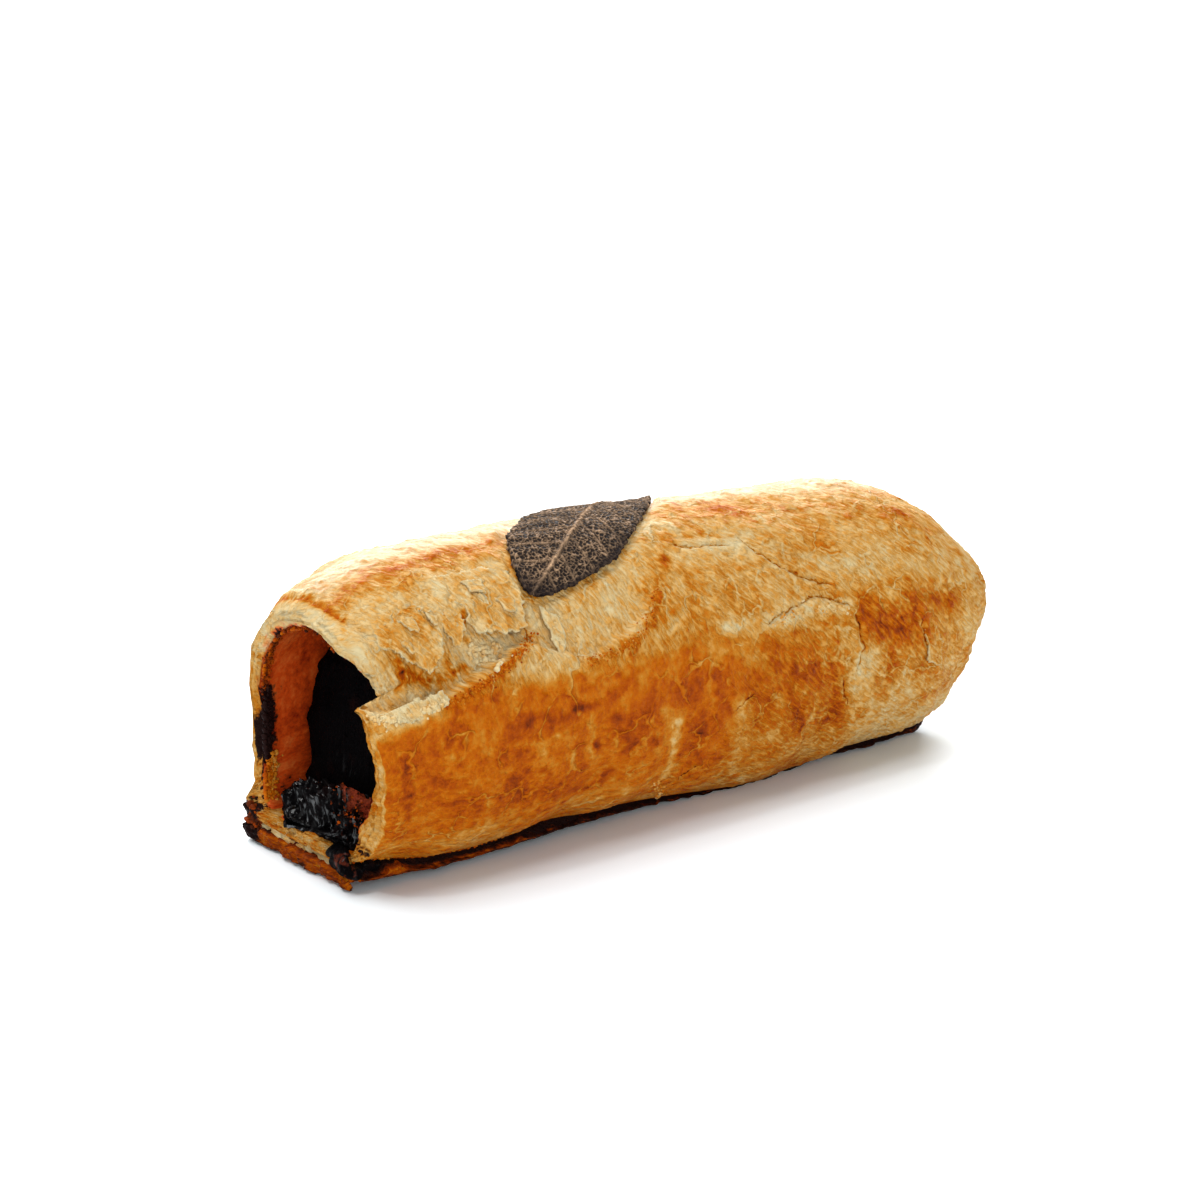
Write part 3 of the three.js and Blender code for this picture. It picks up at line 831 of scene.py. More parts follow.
n_outer, n_nose, n_bore = len(OUTER_ROWS), len(NOSE_RIM), len(BORE_ROWS)
bore_slice = slice(n_outer + n_nose, n_outer + n_nose + n_bore)
mouth_slice = slice(bore_slice.stop, bore_slice.stop + len(MOUTH_RIM))
row_s = np.concatenate([OUTER_ROWS, LENGTH + 4 * NOSE_RIM, BORE_ROWS[::-1], 0 * MOUTH_RIM, OUTER_ROWS[:1]])
row_run = np.concatenate([OUTER_ROWS, LENGTH + 5 * NOSE_RIM, 2 * LENGTH + 5 - BORE_ROWS[::-1],
                          2 * LENGTH + 10 - 5 * MOUTH_RIM, [2 * LENGTH + 10]])
foot_g = 2 * GIRTH + np.interp(FOOT, [0, 1, 3, 4], [0, 3, 6, 34])
column_g = np.concatenate([GIRTH * SKIN, foot_g, foot_g[-1:] + 3])
S, G = over_grid(row_s, column_g)
flat = np.stack(over_grid(row_run, column_g), -1)

bake = whole_sheet(crust_marks["bake"], 0.62)
torn = whole_sheet(crust_marks["torn"], 0)
flaky = whole_sheet(crust_marks["flaky"], 0.4)
flaky *= lerp(1, 0.5, smoothstep(-G, 8, 26)) * (1 - 0.5 * near_nose(S, 30))
crack = whole_sheet(crust_marks["crack"], 2)
cracked = whole_sheet(crust_marks["cracked"], 0)
juice, char = np.zeros_like(bake), np.zeros_like(bake)
foot_columns = slice(len(SKIN), None)
foot_s, foot_at = S[:n_outer, foot_columns], G[:n_outer, foot_columns] - 2 * GIRTH
foot_noise = grain(foot_s, foot_at, 3.5, 0.9, 22, 4)
# The foot is brown crust with painted shade: a little over its whole edge, more in the crevice under the
# belly, along the gap further on and under the lifted edge.
crevice_shade = bump((foot_at - 1.4) / 1.2)
gap_shade = smoothstep(foot_s, 22, 44)
bake[:n_outer, foot_columns] = 0.84 + 0.34 * foot_noise + 0.35 * crevice_shade + 0.12 * gap_shade
underside_shade = band(foot_at, 5.4, 6.4, 14, 20)
char[:n_outer, foot_columns] = (0.22 + 0.3 * gap_shade + 0.5 * crevice_shade) * (foot_at < 6) + 0.7 * underside_shade
for sheet, plain in ((bake, 0.56), (char, 0.0)):
    sheet[:n_outer, foot_columns] = lerp(sheet[:n_outer, foot_columns], plain, near_nose(foot_s, 8))
wall_s, wall_g = S[bore_slice], G[bore_slice]
dry_flap = bump((wall_g / GIRTH - 0.74) / 0.14) * (1 - smoothstep(wall_s, 2, 5))
juice[bore_slice] = (1 - smoothstep(wall_s, LENGTH - 40, LENGTH - 10)) * (1 - dry_flap)
bake[bore_slice] = lerp(JUICE, 0.3, dry_flap)
char[bore_slice] = paint(wall_s, wall_g, BURNT_WALL)

# %% Rim marks
# each burn is at a place round the rim, its run, and how strong it is
BURNT_RIM = [(-1.75, 0.16, 0.9), (-1.5, 0.1, 0.4), (1.72, 0.10, 0.7)]
RIM_SCORCH = (-1.15, 0.13)
RIM_TONE = 0.08
rim_g = G[mouth_slice]
rim_q = rim_g / GIRTH
rim_depth = MOUTH_RIM[:, None] + 0 * rim_g
rim_noise = grain(rim_g, 5 * rim_depth, 3.0, 0.8, 24, 3)
front_lip = band(rim_q, 0.62, 0.7, 1.3, 1.6)
rim_tone = RIM_TONE + 0.28 * front_lip + 0.36 * bump((rim_q - 1.75) / 0.25)
# a brown line at the rim's outer edge, by the crease, is painted shade
rim_tone = rim_tone + 0.26 * smoothstep(-rim_q, 0.45, 0.8) + 0.28 * bump(rim_depth / 0.10) * (rim_q < 0.6)
bake[mouth_slice] = rim_tone + 0.12 * rim_depth + 0.14 * rim_noise
stained = lerp(0.80, 0.88, smoothstep(-rim_q, 0.5, 0.8)) + 0.3 * front_lip
juice[mouth_slice] = smoothstep(rim_depth + 0.25 * rim_noise, stained, stained + 0.15)
torn[mouth_slice] = 0.4 * (1 - juice[mouth_slice])
for place, run, amount in BURNT_RIM:
    char[mouth_slice] += amount * bump((rim_q - place) / run) * smoothstep(rim_noise, -0.3, 0.3)
scorch = bump((rim_q - RIM_SCORCH[0]) / RIM_SCORCH[1])
char[mouth_slice] += 1.6 * scorch * smoothstep(rim_depth + 0.2 * rim_noise, 0.35, 0.6)
char[mouth_slice] += 0.6 * smoothstep(rim_depth + 0.2 * rim_noise, 0.86, 0.98) * (rim_q < 0.5)
marks = {"bake": bake, "torn": torn, "flaky": flaky, "crack": crack, "cracked": cracked}
marks["juice"] = clamp01(juice)
marks["char"] = clamp01(char)
wash_width = 9 - 1.5 * smoothstep(S, 56, 68) + 6 * smoothstep(S, 92, 112)
marks["glaze"] = GLAZE * band(G, -13, -4, -1, wash_width - 4) * (S > 2)
marks["lean"] = smoothstep(S, 56, 72)
for values in marks.values():
    values[-1] = values[0]
    values[:, -1] = values[:, 0]
pastry = sheet_piece("pastry_crust", sleeve, flat, marks)

# %% [markdown]
# ## Loose flakes
# Puff pastry bakes into leaves, and where the crust tore, thin leaves of it stand clear of the layers
# below and cast small shadows. Each is a grid cut to a ragged outline, draped over the roll, sunk into the
# crust where it still holds on, and given its thickness.

# %% Flakes
FLAKE_GRID = 0.24
FLAKE_THICK = 0.35
FLAKE_SINK = 0.7
FLAKE_CURL = 0.35
FLAKE_WAVE = 0.16
# each flake is its outline on the sheet, its height where it holds on and at its free end, and its tone
LOOSE_FLAKES = [
    ([(4.5, 14.2), (9.5, 13), (14.8, 14.6), (15.2, 18), (14.6, 21.7), (13.6, 24.8), (12.2, 26.4),
      (10.5, 26.0), (7.6, 23.4), (5.2, 20.8), (2.9, 18.0)], 0.1, -0.2, 0.35),
    ([(17.5, 10.4), (27.8, 10.0), (32.0, 12.6), (31.4, 18.7), (30.2, 22.9), (28.4, 23.7), (24, 23.0),
      (21, 22.4), (20.0, 20.5), (20.4, 17.6), (17.8, 15)], 0.0, -0.3, 0.28),
    ([(12.6, 15.6), (14.8, 17.4), (15.0, 20.0), (13.8, 19.4)], 0.45, 0.35, 0.32),
    ([(8.5, 15.5), (11.5, 16.5), (11.2, 19.5), (9.2, 18.6)], 0.35, 0.45, 0.31),
    ([(22, 12.5), (26, 13), (25, 16), (22.5, 15.2)], 0.25, 0.40, 0.26),
    ([(26.5, 17), (29.6, 17.6), (29, 20.5), (27, 20)], 0.15, 0.30, 0.31),
    ([(6.5, 18.5), (9, 20.5), (9.6, 23), (7.6, 21.6)], 0.20, 0.35, 0.38),
    ([(15.2, 15), (19.6, 17), (19.2, 21.4), (17.6, 24.4), (16.2, 23.4), (15.2, 20)], -0.2, -0.6, 0.33),
    ([(1.4, 28.2), (4.8, 29.3), (8.2, 29.0), (12.2, 29.2), (12.6, 31.6), (6, 32.0), (1.5, 30.6)],
     0.1, 0.55, 0.12),
    ([(34, 20), (37.4, 22.5), (37, 27), (35, 29.5), (34.2, 25)], -0.4, -0.5, 0.18),
    ([(116.5, 35), (120, 34.6), (122, 38.5), (121.4, 44), (117.6, 42.4)], 0.0, 0.5, 0.38),
    ([(22, -16), (33, -18), (37, -25), (29, -30), (20, -26)], 0.0, 0.6, 0.42),
    ([(66, -22), (80, -20), (86, -28), (74, -35), (64, -30)], 0.0, 0.6, 0.46),
    ([(100, -30), (112, -28), (116, -36), (106, -44), (98, -38)], 0.0, 0.5, 0.50),
]


def inside(s, g, corners):
    """Distance on the sheet in from an outline, negative outside it."""
    crossed = np.zeros(s.shape, dtype=bool)
    near = 0 * s + 99.0
    for (s0, g0), (s1, g1) in zip(corners, corners[1:] + corners[:1]):
        near = np.minimum(near, stroke_distance(s, g, (s0, g0), (s1, g1)))
        over = (g0 > g) != (g1 > g)
        crossed ^= over & (s < s0 + (g - g0) * (s1 - s0) / (g1 - g0 + 1e-9))
    return np.where(crossed, near, -near)


def plain_marks(like, **known):
    """Marks of a small piece of pastry: those that are known, and nothing of the others."""
    names = ("bake", "torn", "flaky", "crack", "cracked", "juice", "char", "glaze", "lean")
    return {name: known.get(name, 0.0) + 0.0 * like for name in names}


def loose_flake(corners, held, free, tone):
    low, high = np.min(corners, axis=0) - 0.8, np.max(corners, axis=0) + 0.8
    steps = np.ceil((high - low) / FLAKE_GRID).astype(int)
    s, g = np.meshgrid(np.linspace(low[0], high[0], steps[0]), np.linspace(low[1], high[1], steps[1]))
    depth = inside(s, g, corners) + 0.55 * grain(s, g, 1.3, 1.3, 35, 4)
    across = np.abs(g) if high[1] < 0 else g
    run = clamp01((across - across.min()) / np.ptp(across))
    sunk = FLAKE_SINK * (1 - smoothstep(run, 0.0, 0.3)) * (tone > 0.3)
    curl = FLAKE_CURL * bump(depth / 0.9) * smoothstep(run, 0.3, 0.6)
    wavy = FLAKE_WAVE * grain(s - 0.3 * g, g, 2.0, 4.0, 36, 3)
    height = lerp(held, free, run) + curl + wavy - sunk + fold_relief(s, g)
    # paler along the broken outline: thin broken pastry, with a painted highlight on the edge
    bake = tone + 0.10 * grain(s, g, 2.5, 3.5, 37, 3) - 0.30 * bump(depth / 0.40)
    marks = plain_marks(s, bake=bake, torn=0.5, flaky=1.0, lean=smoothstep(s, 56, 72))
    flat = np.stack([s, g + 300], -1)
    skin = raised(outer_section(s), s, g / GIRTH, height)
    return sheet_mesh("flake", skin, flat, marks, FLAKE_THICK, depth > 0)


flakes = piece_of("crust_flakes", [loose_flake(*flake) for flake in LOOSE_FLAKES])

# %% [markdown]
# ## The lower lip
# At the mouth the bottom of the sleeve shows its edge: a pale upper layer, a gap darkened with painted
# shade, and a brown crust below that stood on the tray. A profile is drawn once and swept across the
# lip, with noise to fray it.

# %% Lip piece
# places of the profile from the floor of the mouth out and down, with how brown each is; the two
# darkest, in the gap, are painted shade
LIP_STOPS = [0.0, 0.28, 0.40, 0.54, 0.60, 0.66, 0.72, 0.92, 1.0]
LIP_OUT = [5.5, 0.3, -0.7, -0.5, 0.6, 0.5, -1.1, -0.9, 0.3]
LIP_UP = [6.2, 6.5, 5.9, 4.2, 3.7, 3.2, 2.8, 0.6, 0.15]
LIP_TONE_AND_SHADE = [0.55, 0.42, 0.36, 0.48, 0.92, 0.97, 0.72, 0.80, 0.90]
LIP_BACK = 19.5
LIP_FRONT = -12.0
LIP_THICK = 0.8
LIP_LOWEST = 0.35


def lip_points():
    y, v = over_grid(np.linspace(LIP_BACK, LIP_FRONT, 120), np.linspace(0, 1, 60))
    fray = grain(y, 9 * v, 1.5, 1.0, 38, 4)
    slow = grain(y, 2 * v, 5.0, 1.0, 39, 2)
    free = smoothstep(v, 0.15, 0.35)
    x = np.interp(v, LIP_STOPS, LIP_OUT) - free * (0.7 * fray + 0.8 * slow)
    frayed = 0.5 * fray * free * (1 - smoothstep(v, 0.8, 1)) + 0.7 * slow * (v < 0.56)
    z = np.maximum(np.interp(v, LIP_STOPS, LIP_UP) + frayed, LIP_LOWEST)
    burnt = smoothstep(y + 2 * slow, 14, 17) + 0.40 * bump((v - 0.33) / 0.08) * smoothstep(fray, 0.1, 0.5)
    bake = np.interp(v, LIP_STOPS, LIP_TONE_AND_SHADE) + 0.22 * fray
    marks = plain_marks(y, bake=bake, torn=0.4, flaky=1.0, char=clamp01(burnt))
    return np.stack([x - LENGTH / 2, y, z], -1), np.stack([y, 40 * v + 400], -1), marks


lip = sheet_piece("mouth_lip", *lip_points(), LIP_THICK)
for v in lip.data.vertices:
    v.co.z = max(v.co.z, 0.0)

# %% [markdown]
# ## The filling
# The filling fills the whole sleeve. At the mouth its face leans back, domed and nearly black, charred
# and partly painted shade of the dark hollow, and a sticky tongue of it has run out over the lip. It is
# a sheet rolled the same way as the pastry, with its ends drawn together to a point. A few more rings
# make the cut face at the far end lumpy.

# %% Filling sizes
CLEARANCE = 0.4
NOSE_CLEARANCE = 1.0
FACE_START = 7.0
FACE_END = 17.0
FACE_LEAN = 11.0
FACE_LEAN_RUN = 46.0
TONGUE_HEIGHT = 9.0
TONGUE_DIP = 3.0
TONGUE_FRONT = 12.4
TONGUE_BACK = 11.5
TONGUE_TILT = 0.2
FAR_FACE = 1.4
TONGUE_START = 0.5
TONGUE_ROUND = 3.6
FILLING_ROWS = stations((0.55, 4, 30), (4, FACE_END, 55), (FACE_END, 40, 26), (40, LENGTH - 30, 12),
                        (LENGTH - 30, LENGTH - 2.2, 24))
FILLING_SKIN = stations((-2, 2, 150))
FAR_RINGS = np.linspace(0.96, 0.06, 16)


def face_rise(s):
    return np.sqrt(1 - (1 - smoothstep(s, FACE_START, FACE_END)) ** 2)


def filling_section(s, lean):
    section = bore_section(s + lean, lerp(CLEARANCE, NOSE_CLEARANCE, near_nose(s)))
    rise = face_rise(s)
    dip = TONGUE_DIP * bump((s - FACE_START) / 3)
    nose = np.sqrt(1 - clamp01(1 - (s - TONGUE_START) / TONGUE_ROUND) ** 2)
    low = (TONGUE_HEIGHT - dip) * np.maximum(0.05, nose)
    far = np.sqrt(1 - clamp01((s - LENGTH + 9) / 10) ** 2)
    full = section["top"] - section["bottom"]
    section["top"] = section["bottom"] + lerp(low, full, rise) * lerp(0.7, 1, far)
    narrow = lerp(0.55, 1, nose)
    section["front"] = lerp(TONGUE_FRONT * narrow, section["front"], rise) * lerp(0.75, 1, far)
    section["back"] = lerp(TONGUE_BACK * narrow, section["back"], rise) * lerp(0.75, 1, far)
    section["foot_front"] = np.minimum(section["foot_front"], section["front"] - 1)
    section["foot_back"] = np.minimum(section["foot_back"], section["back"] - 1)
    return section


# %% Filling piece


def filling_points(rows):
    s, q = over_grid(rows, FILLING_SKIN)
    fade = band(s, FACE_START, FACE_END, FACE_END, FACE_LEAN_RUN)
    lean = fade * FACE_LEAN * clamp01(1 - np.abs(q) / 1.5) ** 1.5
    section = filling_section(s, lean)
    y, z = outline(section, q)
    ny, nz = outward(section, q)
    x = along_at(s, q) + lean
    level = filling_section(s, 0 * s)
    share = clamp01((z - level["bottom"]) / (level["top"] - level["bottom"]))
    z = z - TONGUE_TILT * y * share * (1 - face_rise(s))
    free = (1 - smoothstep(s, FACE_END - 5, FACE_END)) * (1 - smoothstep(np.abs(q), 1.5, 1.9))
    spots = np.stack([x, y, z], -1)
    lumps = noise_in_space(spots, 4.2, 25, 3)
    folds = 1 - 2 * np.abs(noise_in_space(spots * (0.6, 1.5, 0.5), 2.0, 26, 2))
    lift = free * (1.5 * lumps + 1.1 * folds - 0.4)
    face = fade * (0.9 * lumps + 0.25 * folds)
    spill = 1.4 * (1 - smoothstep(s, 3, 7)) * (lumps + 0.6 * folds)
    made = np.stack([x - np.abs(face) - spill, y + lift * ny, z + lift * nz], -1)
    return made, lumps, share


def noise_in_space(points, size, seed, octaves):
    """Noise at points in space, about -1 to 1, with lumps of size millimetres."""
    spots = np.reshape(points, (-1, 3)) / size + 5.1 * seed
    return np.reshape([noise.fractal(p, 1.0, 2.0, octaves) for p in spots], points.shape[:-1])


body, lumps, share = filling_points(FILLING_ROWS)
body = np.concatenate([body, body[:, :1]], 1)
first, last = body[:1].mean(1, keepdims=True), body[-1:].mean(1, keepdims=True)
last[..., 0] = LENGTH / 2 - FAR_FACE - 0.8
far_face = np.concatenate([lerp(last, body[-1:], part) for part in FAR_RINGS])
far_lumps = noise_in_space(far_face, 3.2, 31, 3)
far_face[..., 0] = last[..., 0] + 0.5 * far_lumps - 0.7 * FAR_RINGS[:, None] ** 2
body = np.concatenate([0 * body[:1] + first, body, far_face, 0 * body[:1] + last])
filling_s = np.concatenate([[TONGUE_START], FILLING_ROWS, LENGTH - 2 * FAR_RINGS, [LENGTH]])
filling_flat = np.stack(np.meshgrid(np.append(GIRTH * FILLING_SKIN, 3 * GIRTH), filling_s)[::-1], -1)
crumb_field = np.pad(lumps, ((1, len(FAR_RINGS) + 1), (0, 1)), mode="edge")
sticky = 1 - smoothstep(filling_s[:, None] + 2.0 * crumb_field, 4.5, 7.0)
high = smoothstep(body[..., 2] + crumb_field, 8.6, 10.4) * smoothstep(body[..., 0] + LENGTH / 2, 1.5, 4)
cut_end = 0.8 * smoothstep(filling_s, LENGTH - 6, LENGTH - 3)[:, None]
filling = sheet_piece("filling_core", body, filling_flat, {
    "crumb": sticky * high * smoothstep(3 * crumb_field - body[..., 1], 3, 6) + cut_end,
    "sticky": sticky,
})

# %% Drip
# each drop is its middle and its half sizes, in millimetres
DROPS = [
    ((-69.0, -8.9, 5.8), (1.6, 3.0, 1.2)),
    ((-69.7, -10.4, 4.6), (1.0, 3.0, 1.9)),
    ((-68.8, -12.3, 3.9), (2.2, 1.4, 1.3)),
    ((-66.6, -12.3, 4.0), (2.9, 1.1, 1.0)),
]
DROP_LUMPS = 0.7
DROP_LUMP_SIZE = 2.6


def drop_mesh(middle, half):
    bm = bmesh.new()
    shape = Matrix.Translation(Vector(middle) * MM) @ Matrix.Diagonal((*[v * MM for v in half], 1.0))
    bmesh.ops.create_icosphere(bm, subdivisions=4, radius=1.0, matrix=shape)
    bm.normal_update()
    for v in bm.verts:
        v.co += DROP_LUMPS * MM * noise.fractal(v.co / (DROP_LUMP_SIZE * MM), 1.0, 2.0, 2) * v.normal
    mesh = to_mesh(bm, "drop")
    plain = np.zeros(len(mesh.vertices))
    add_marks(mesh, {"crumb": plain + 0.28, "sticky": plain + 0.35}, np.zeros((len(plain), 2)))
    return mesh


drip = piece_of("filling_drip", [drop_mesh(middle, half) for middle, half in DROPS])

# %% [markdown]
# ## Crumbs
# Broken edges of pastry shed crumbs that stick to them: white along the tear by the mouth, red brown
# further on, and burnt on the lip and on the filling. Each crumb is a small rough ball, placed
# by chance near a line, from a fixed seed, so that every run gives the same crumbs.

# %% Crumbs
# each run is a line on the sheet, the number, spread and size of its crumbs, how brown they are, and
# how burnt
OUTER_CRUMBS = [
    ([(1.2, 29.4), (5, 30.6), (12, 31.0)], 150, 0.45, 0.32, 0.10),
    ([(12, 31.4), (17, 30.8), (22.8, 29.0), (28, 26.4), (32, 24.2)], 420, 0.34, 0.16, 0.64),
    ([(40, 30.4), (45, 29.8), (50, 28.4), (54, 26), (57.5, 21)], 220, 0.55, 0.14, 0.60),
    ([(80, 30.6), (88, 29.2), (98, 30.4)], 70, 0.8, 0.22, 0.24),
    ([(20.0, 24.5), (26, 25.4), (21.5, 27.6)], 130, 0.7, 0.34, 0.08),
    ([(1, 73.5), (34, 74.5)], 90, 0.8, 0.22, 0.66),
    ([(56, 58), (60, 66), (62, 73)], 40, 0.5, 0.26, 0.34),
    ([(20, -29), (36, -25)], 50, 0.8, 0.28, 0.50),
    ([(64, -33), (86, -29)], 60, 0.8, 0.28, 0.55),
    ([(98, -41), (116, -40)], 50, 0.8, 0.28, 0.55),
]
WALL_CRUMBS = [
    ([(0.8, -66), (2.2, -50)], 220, 0.9, 0.32, 0.58),
    ([(0.6, -48), (1.6, -34)], 90, 0.7, 0.42, 0.90, 0.9),
    ([(0.6, -32), (1.4, -14)], 220, 0.7, 0.28, 0.84),
    ([(0.6, -14), (1.0, 10)], 160, 0.45, 0.24, 0.86),
]
BURNT_CORNER = (-69.2, 17.2, 4.4)
BURNT_SPREAD = (0.5, 1.2, 1.1)
BURNT_CRUMBS = 110
BURNT_TONE = 0.93
TONGUE_CRUMBS = 150
CHANCE = np.random.default_rng(11)


def scatter(line, count, spread):
    """Places by chance near a line on the sheet."""
    s, g = np.array(line, dtype=float).T
    run = np.concatenate([[0], np.cumsum(np.hypot(np.diff(s), np.diff(g)))])
    at = CHANCE.uniform(0, run[-1], count)
    off = CHANCE.normal(0, spread, (2, count))
    return np.interp(at, run, s) + off[0], np.interp(at, run, g) + off[1]


def crumb_mesh(spots, size, bake, char=0.0):
    spots = np.maximum(spots, (-99, -99, 0.5))
    bm = bmesh.new()
    sizes = size * CHANCE.uniform(0.6, 1.4, len(spots)) * MM
    for spot, radius in zip(spots, sizes):
        turn = Matrix.Rotation(CHANCE.uniform(0, 6.28), 4, Vector(CHANCE.normal(size=3)))
        shape = Matrix.Diagonal((*CHANCE.uniform(0.6, 1.4, 3), 1.0))
        shape = Matrix.Translation(spot * MM) @ turn @ shape
        bmesh.ops.create_icosphere(bm, subdivisions=1, radius=radius, matrix=shape)
    mesh = to_mesh(bm, "crumbs")
    each = len(mesh.vertices) // len(spots)
    tone = np.repeat(bake + CHANCE.uniform(-0.14, 0.12, len(spots)), each)
    marks = plain_marks(tone, bake=tone, torn=0.3, flaky=1.0, char=char)
    add_marks(mesh, marks, np.repeat(spots[:, :2], each, axis=0) + 500)
    return mesh


def all_crumbs():
    made = []
    for line, count, spread, *kind in OUTER_CRUMBS:
        s, g = scatter(line, count, spread)
        s = np.maximum(s, 0.6)
        q = g / GIRTH
        made.append(crumb_mesh(raised(outer_section(s), s, q, crust(s, q)[0]), *kind))
    for line, count, spread, *kind in WALL_CRUMBS:
        s, g = scatter(line, count, spread)
        s = np.maximum(s, 0.2)
        made.append(crumb_mesh(raised(bore_section(s), s, g / GIRTH, 0.0), *kind))
    corner = CHANCE.normal(BURNT_CORNER, BURNT_SPREAD, (BURNT_CRUMBS, 3))
    made.append(crumb_mesh(corner, 0.5, BURNT_TONE))
    tongue = body[3:32].reshape(-1, 3)
    high_front = tongue[(tongue[:, 1] < -4) & (tongue[:, 2] > 10)]
    made.append(crumb_mesh(CHANCE.choice(high_front, TONGUE_CRUMBS), 0.2, BURNT_TONE))
    return made


crumbs = piece_of("crust_crumbs", all_crumbs())

# %% [markdown]
# ## The sage leaf
# The leaf lies with its underside up, so its veins stand out: a midrib, side veins that lean to the
# tip, and a close net between them. The sheet is draped on the skin of the roll, given its
# thickness, and keeps its distance along and across the leaf as its UV map, for the material.

# %% Leaf piece
LEAF_ARCH = 0.5
LEAF_WAVE = 0.15
VEIN_PITCH = 5.6
VEIN_LEAN = 0.8
NET_SIZE = 0.72
MIDRIB_HEIGHT = 0.30
SIDE_VEIN_HEIGHT = 0.14
NET_HEIGHT = 0.13
LEAF_STEPS = (330, 128)


def leaf_points():
    t = stations((0, 0.06, 20), (0.06, 1, LEAF_STEPS[0] - 20))[:, None]
    a = np.linspace(-1, 1, LEAF_STEPS[1] + 1)[None, :]
    along = LEAF_LENGTH * t + 0 * a
    teeth = 1 + 0.025 * np.sin(2 * np.pi * along / 1.7) * smoothstep(np.abs(a), 0.7, 1)
    across = a * leaf_half(t, a) * teeth
    s = LEAF_TIP[0] + along * np.cos(LEAF_TURN) - across * np.sin(LEAF_TURN)
    g = LEAF_TIP[1] + along * np.sin(LEAF_TURN) + across * np.cos(LEAF_TURN)
    arch = LEAF_ARCH * (1 - a * a) * np.sin(np.pi * np.minimum(1, 1.4 * t))
    wave = LEAF_WAVE * a * a * (1 + np.sin(0.55 * along + np.where(a > 0, 0, 2)))
    midrib, side = leaf_veins(along, across)
    spots = zip(along.ravel() / NET_SIZE, across.ravel() / NET_SIZE)
    cells = [noise.voronoi((u, v, 3.7))[0] for u, v in spots]
    net = np.reshape([near[1] - near[0] for near in cells], along.shape)
    net = 1 - smoothstep(net, 0.04, 0.20)
    veins = MIDRIB_HEIGHT * midrib + SIDE_VEIN_HEIGHT * side + NET_HEIGHT * net
    dished = -0.25 * np.cos(2 * np.pi * vein_phase(along, across)) * smoothstep(np.abs(across), 0.5, 3)
    lift = LEAF_GAP - LEAF_BED + LEAF_THICK + arch + wave + veins - 0.15 + 0.5 * dished
    points = raised(outer_section(s), s, g / GIRTH, lift + fold_relief(s, g))
    # painted shadow along the lower rim, where the leaf's edge curls up
    lower_rim_shadow = smoothstep(a, 0.80, 0.95) * (1 - smoothstep(t, 0.3, 0.6))
    burnt_and_shade = np.maximum(1 - smoothstep(t, 0.0, 0.10), lower_rim_shadow)
    marks = {"vein": np.maximum(midrib, 0.7 * side), "net": net, "burnt_and_shade": burnt_and_shade}
    return points, np.stack([along, across], -1), marks


def vein_phase(along, across):
    return (along + VEIN_LEAN * np.abs(across) + np.where(across > 0, 0.0, 0.45 * VEIN_PITCH)) / VEIN_PITCH


def leaf_veins(along, across):
    """Masks of the midrib and of the side veins."""
    width = lerp(0.28, 0.6, along / LEAF_LENGTH)
    midrib = bump(across / width)
    off = np.abs((vein_phase(along, across) + 0.5) % 1.0 - 0.5) * VEIN_PITCH
    side = bump(off / 0.28) * (1 - smoothstep(np.abs(across), 5.5, 9))
    return midrib, side


leaf = sheet_piece("sage_leaf_blade", *leaf_points(), LEAF_THICK)

# %% [markdown]
# ## Node helpers
# A material is a small tree of nodes. This helper makes one node, sets it, and joins its inputs, so that
# a tree reads from top to bottom. Colours are written as they are seen and turned into linear light.

# %% Node helpers


def seen(red, green, blue):
    """A colour as it is seen on a screen, 0 to 255, as linear light."""
    parts = [v / 255 for v in (red, green, blue)]
    return tuple(v / 12.92 if v <= 0.04045 else ((v + 0.055) / 1.055) ** 2.4 for v in parts) + (1.0,)


def node(tree, kind, inputs=None, **settings):
    made = tree.nodes.new("ShaderNode" + kind)
    for name, value in settings.items():
        setattr(made, name, value)
    for name, value in (inputs or {}).items():
        if isinstance(value, bpy.types.NodeSocket):
            tree.links.new(value, made.inputs[name])
        else:
            made.inputs[name].default_value = value
    return made


def math(tree, operation, a, b=0.0, c=0.0):
    return node(tree, "Math", {0: a, 1: b, 2: c}, operation=operation).outputs[0]


def add_up(tree, value, *terms):
    """A value with fields added to it, each given with its weight."""
    for field, weight in terms:
        value = math(tree, "MULTIPLY_ADD", field, weight, value)
    return value


def times(tree, value, *others):
    for other in others:
        value = math(tree, "MULTIPLY", value, other)
    return value


def fade(tree, value, start, end, low=0.0, high=1.0):
    """Low where a value is at start, high where it is at end, and even between them."""
    return node(tree, "MapRange", {0: value, 1: start, 2: end, 3: low, 4: high}).outputs[0]


def clouds(tree, place, scale, detail, roughness=0.5):
    """Noise as a value round zero."""
    settings = {"Vector": place, "Scale": scale, "Detail": detail, "Roughness": roughness}
    return math(tree, "SUBTRACT", node(tree, "TexNoise", settings).outputs[0], 0.5)


def mix(tree, factor, a, b):
    return node(tree, "Mix", {0: factor, 6: a, 7: b}, data_type="RGBA").outputs[2]


def ramp(tree, value, stops):
    made = node(tree, "ValToRGB", {0: value})
    elements = made.color_ramp.elements
    while len(elements) < len(stops):
        elements.new(0.5)
    for element, (place, colour) in zip(elements, stops):
        element.position = place
        element.color = colour
    return made.outputs[0]


def mark(tree, name):
    return node(tree, "Attribute", attribute_name=name).outputs["Fac"]


def sheet_place(tree):
    return node(tree, "UVMap", uv_map="sheet").outputs[0]


def new_material(name):
    material = bpy.data.materials.new(name)
    material.use_nodes = True
    tree = material.node_tree
    return material, tree, tree.nodes["Principled BSDF"]


# %% [markdown]
# ## A shared effect: oven mottle
# Pastry, filling and leaf all came out of one oven with patches and specks of a size of their own. One
# node group gives both as values round zero, and each material says how large its patches are.

# %% Oven mottle group


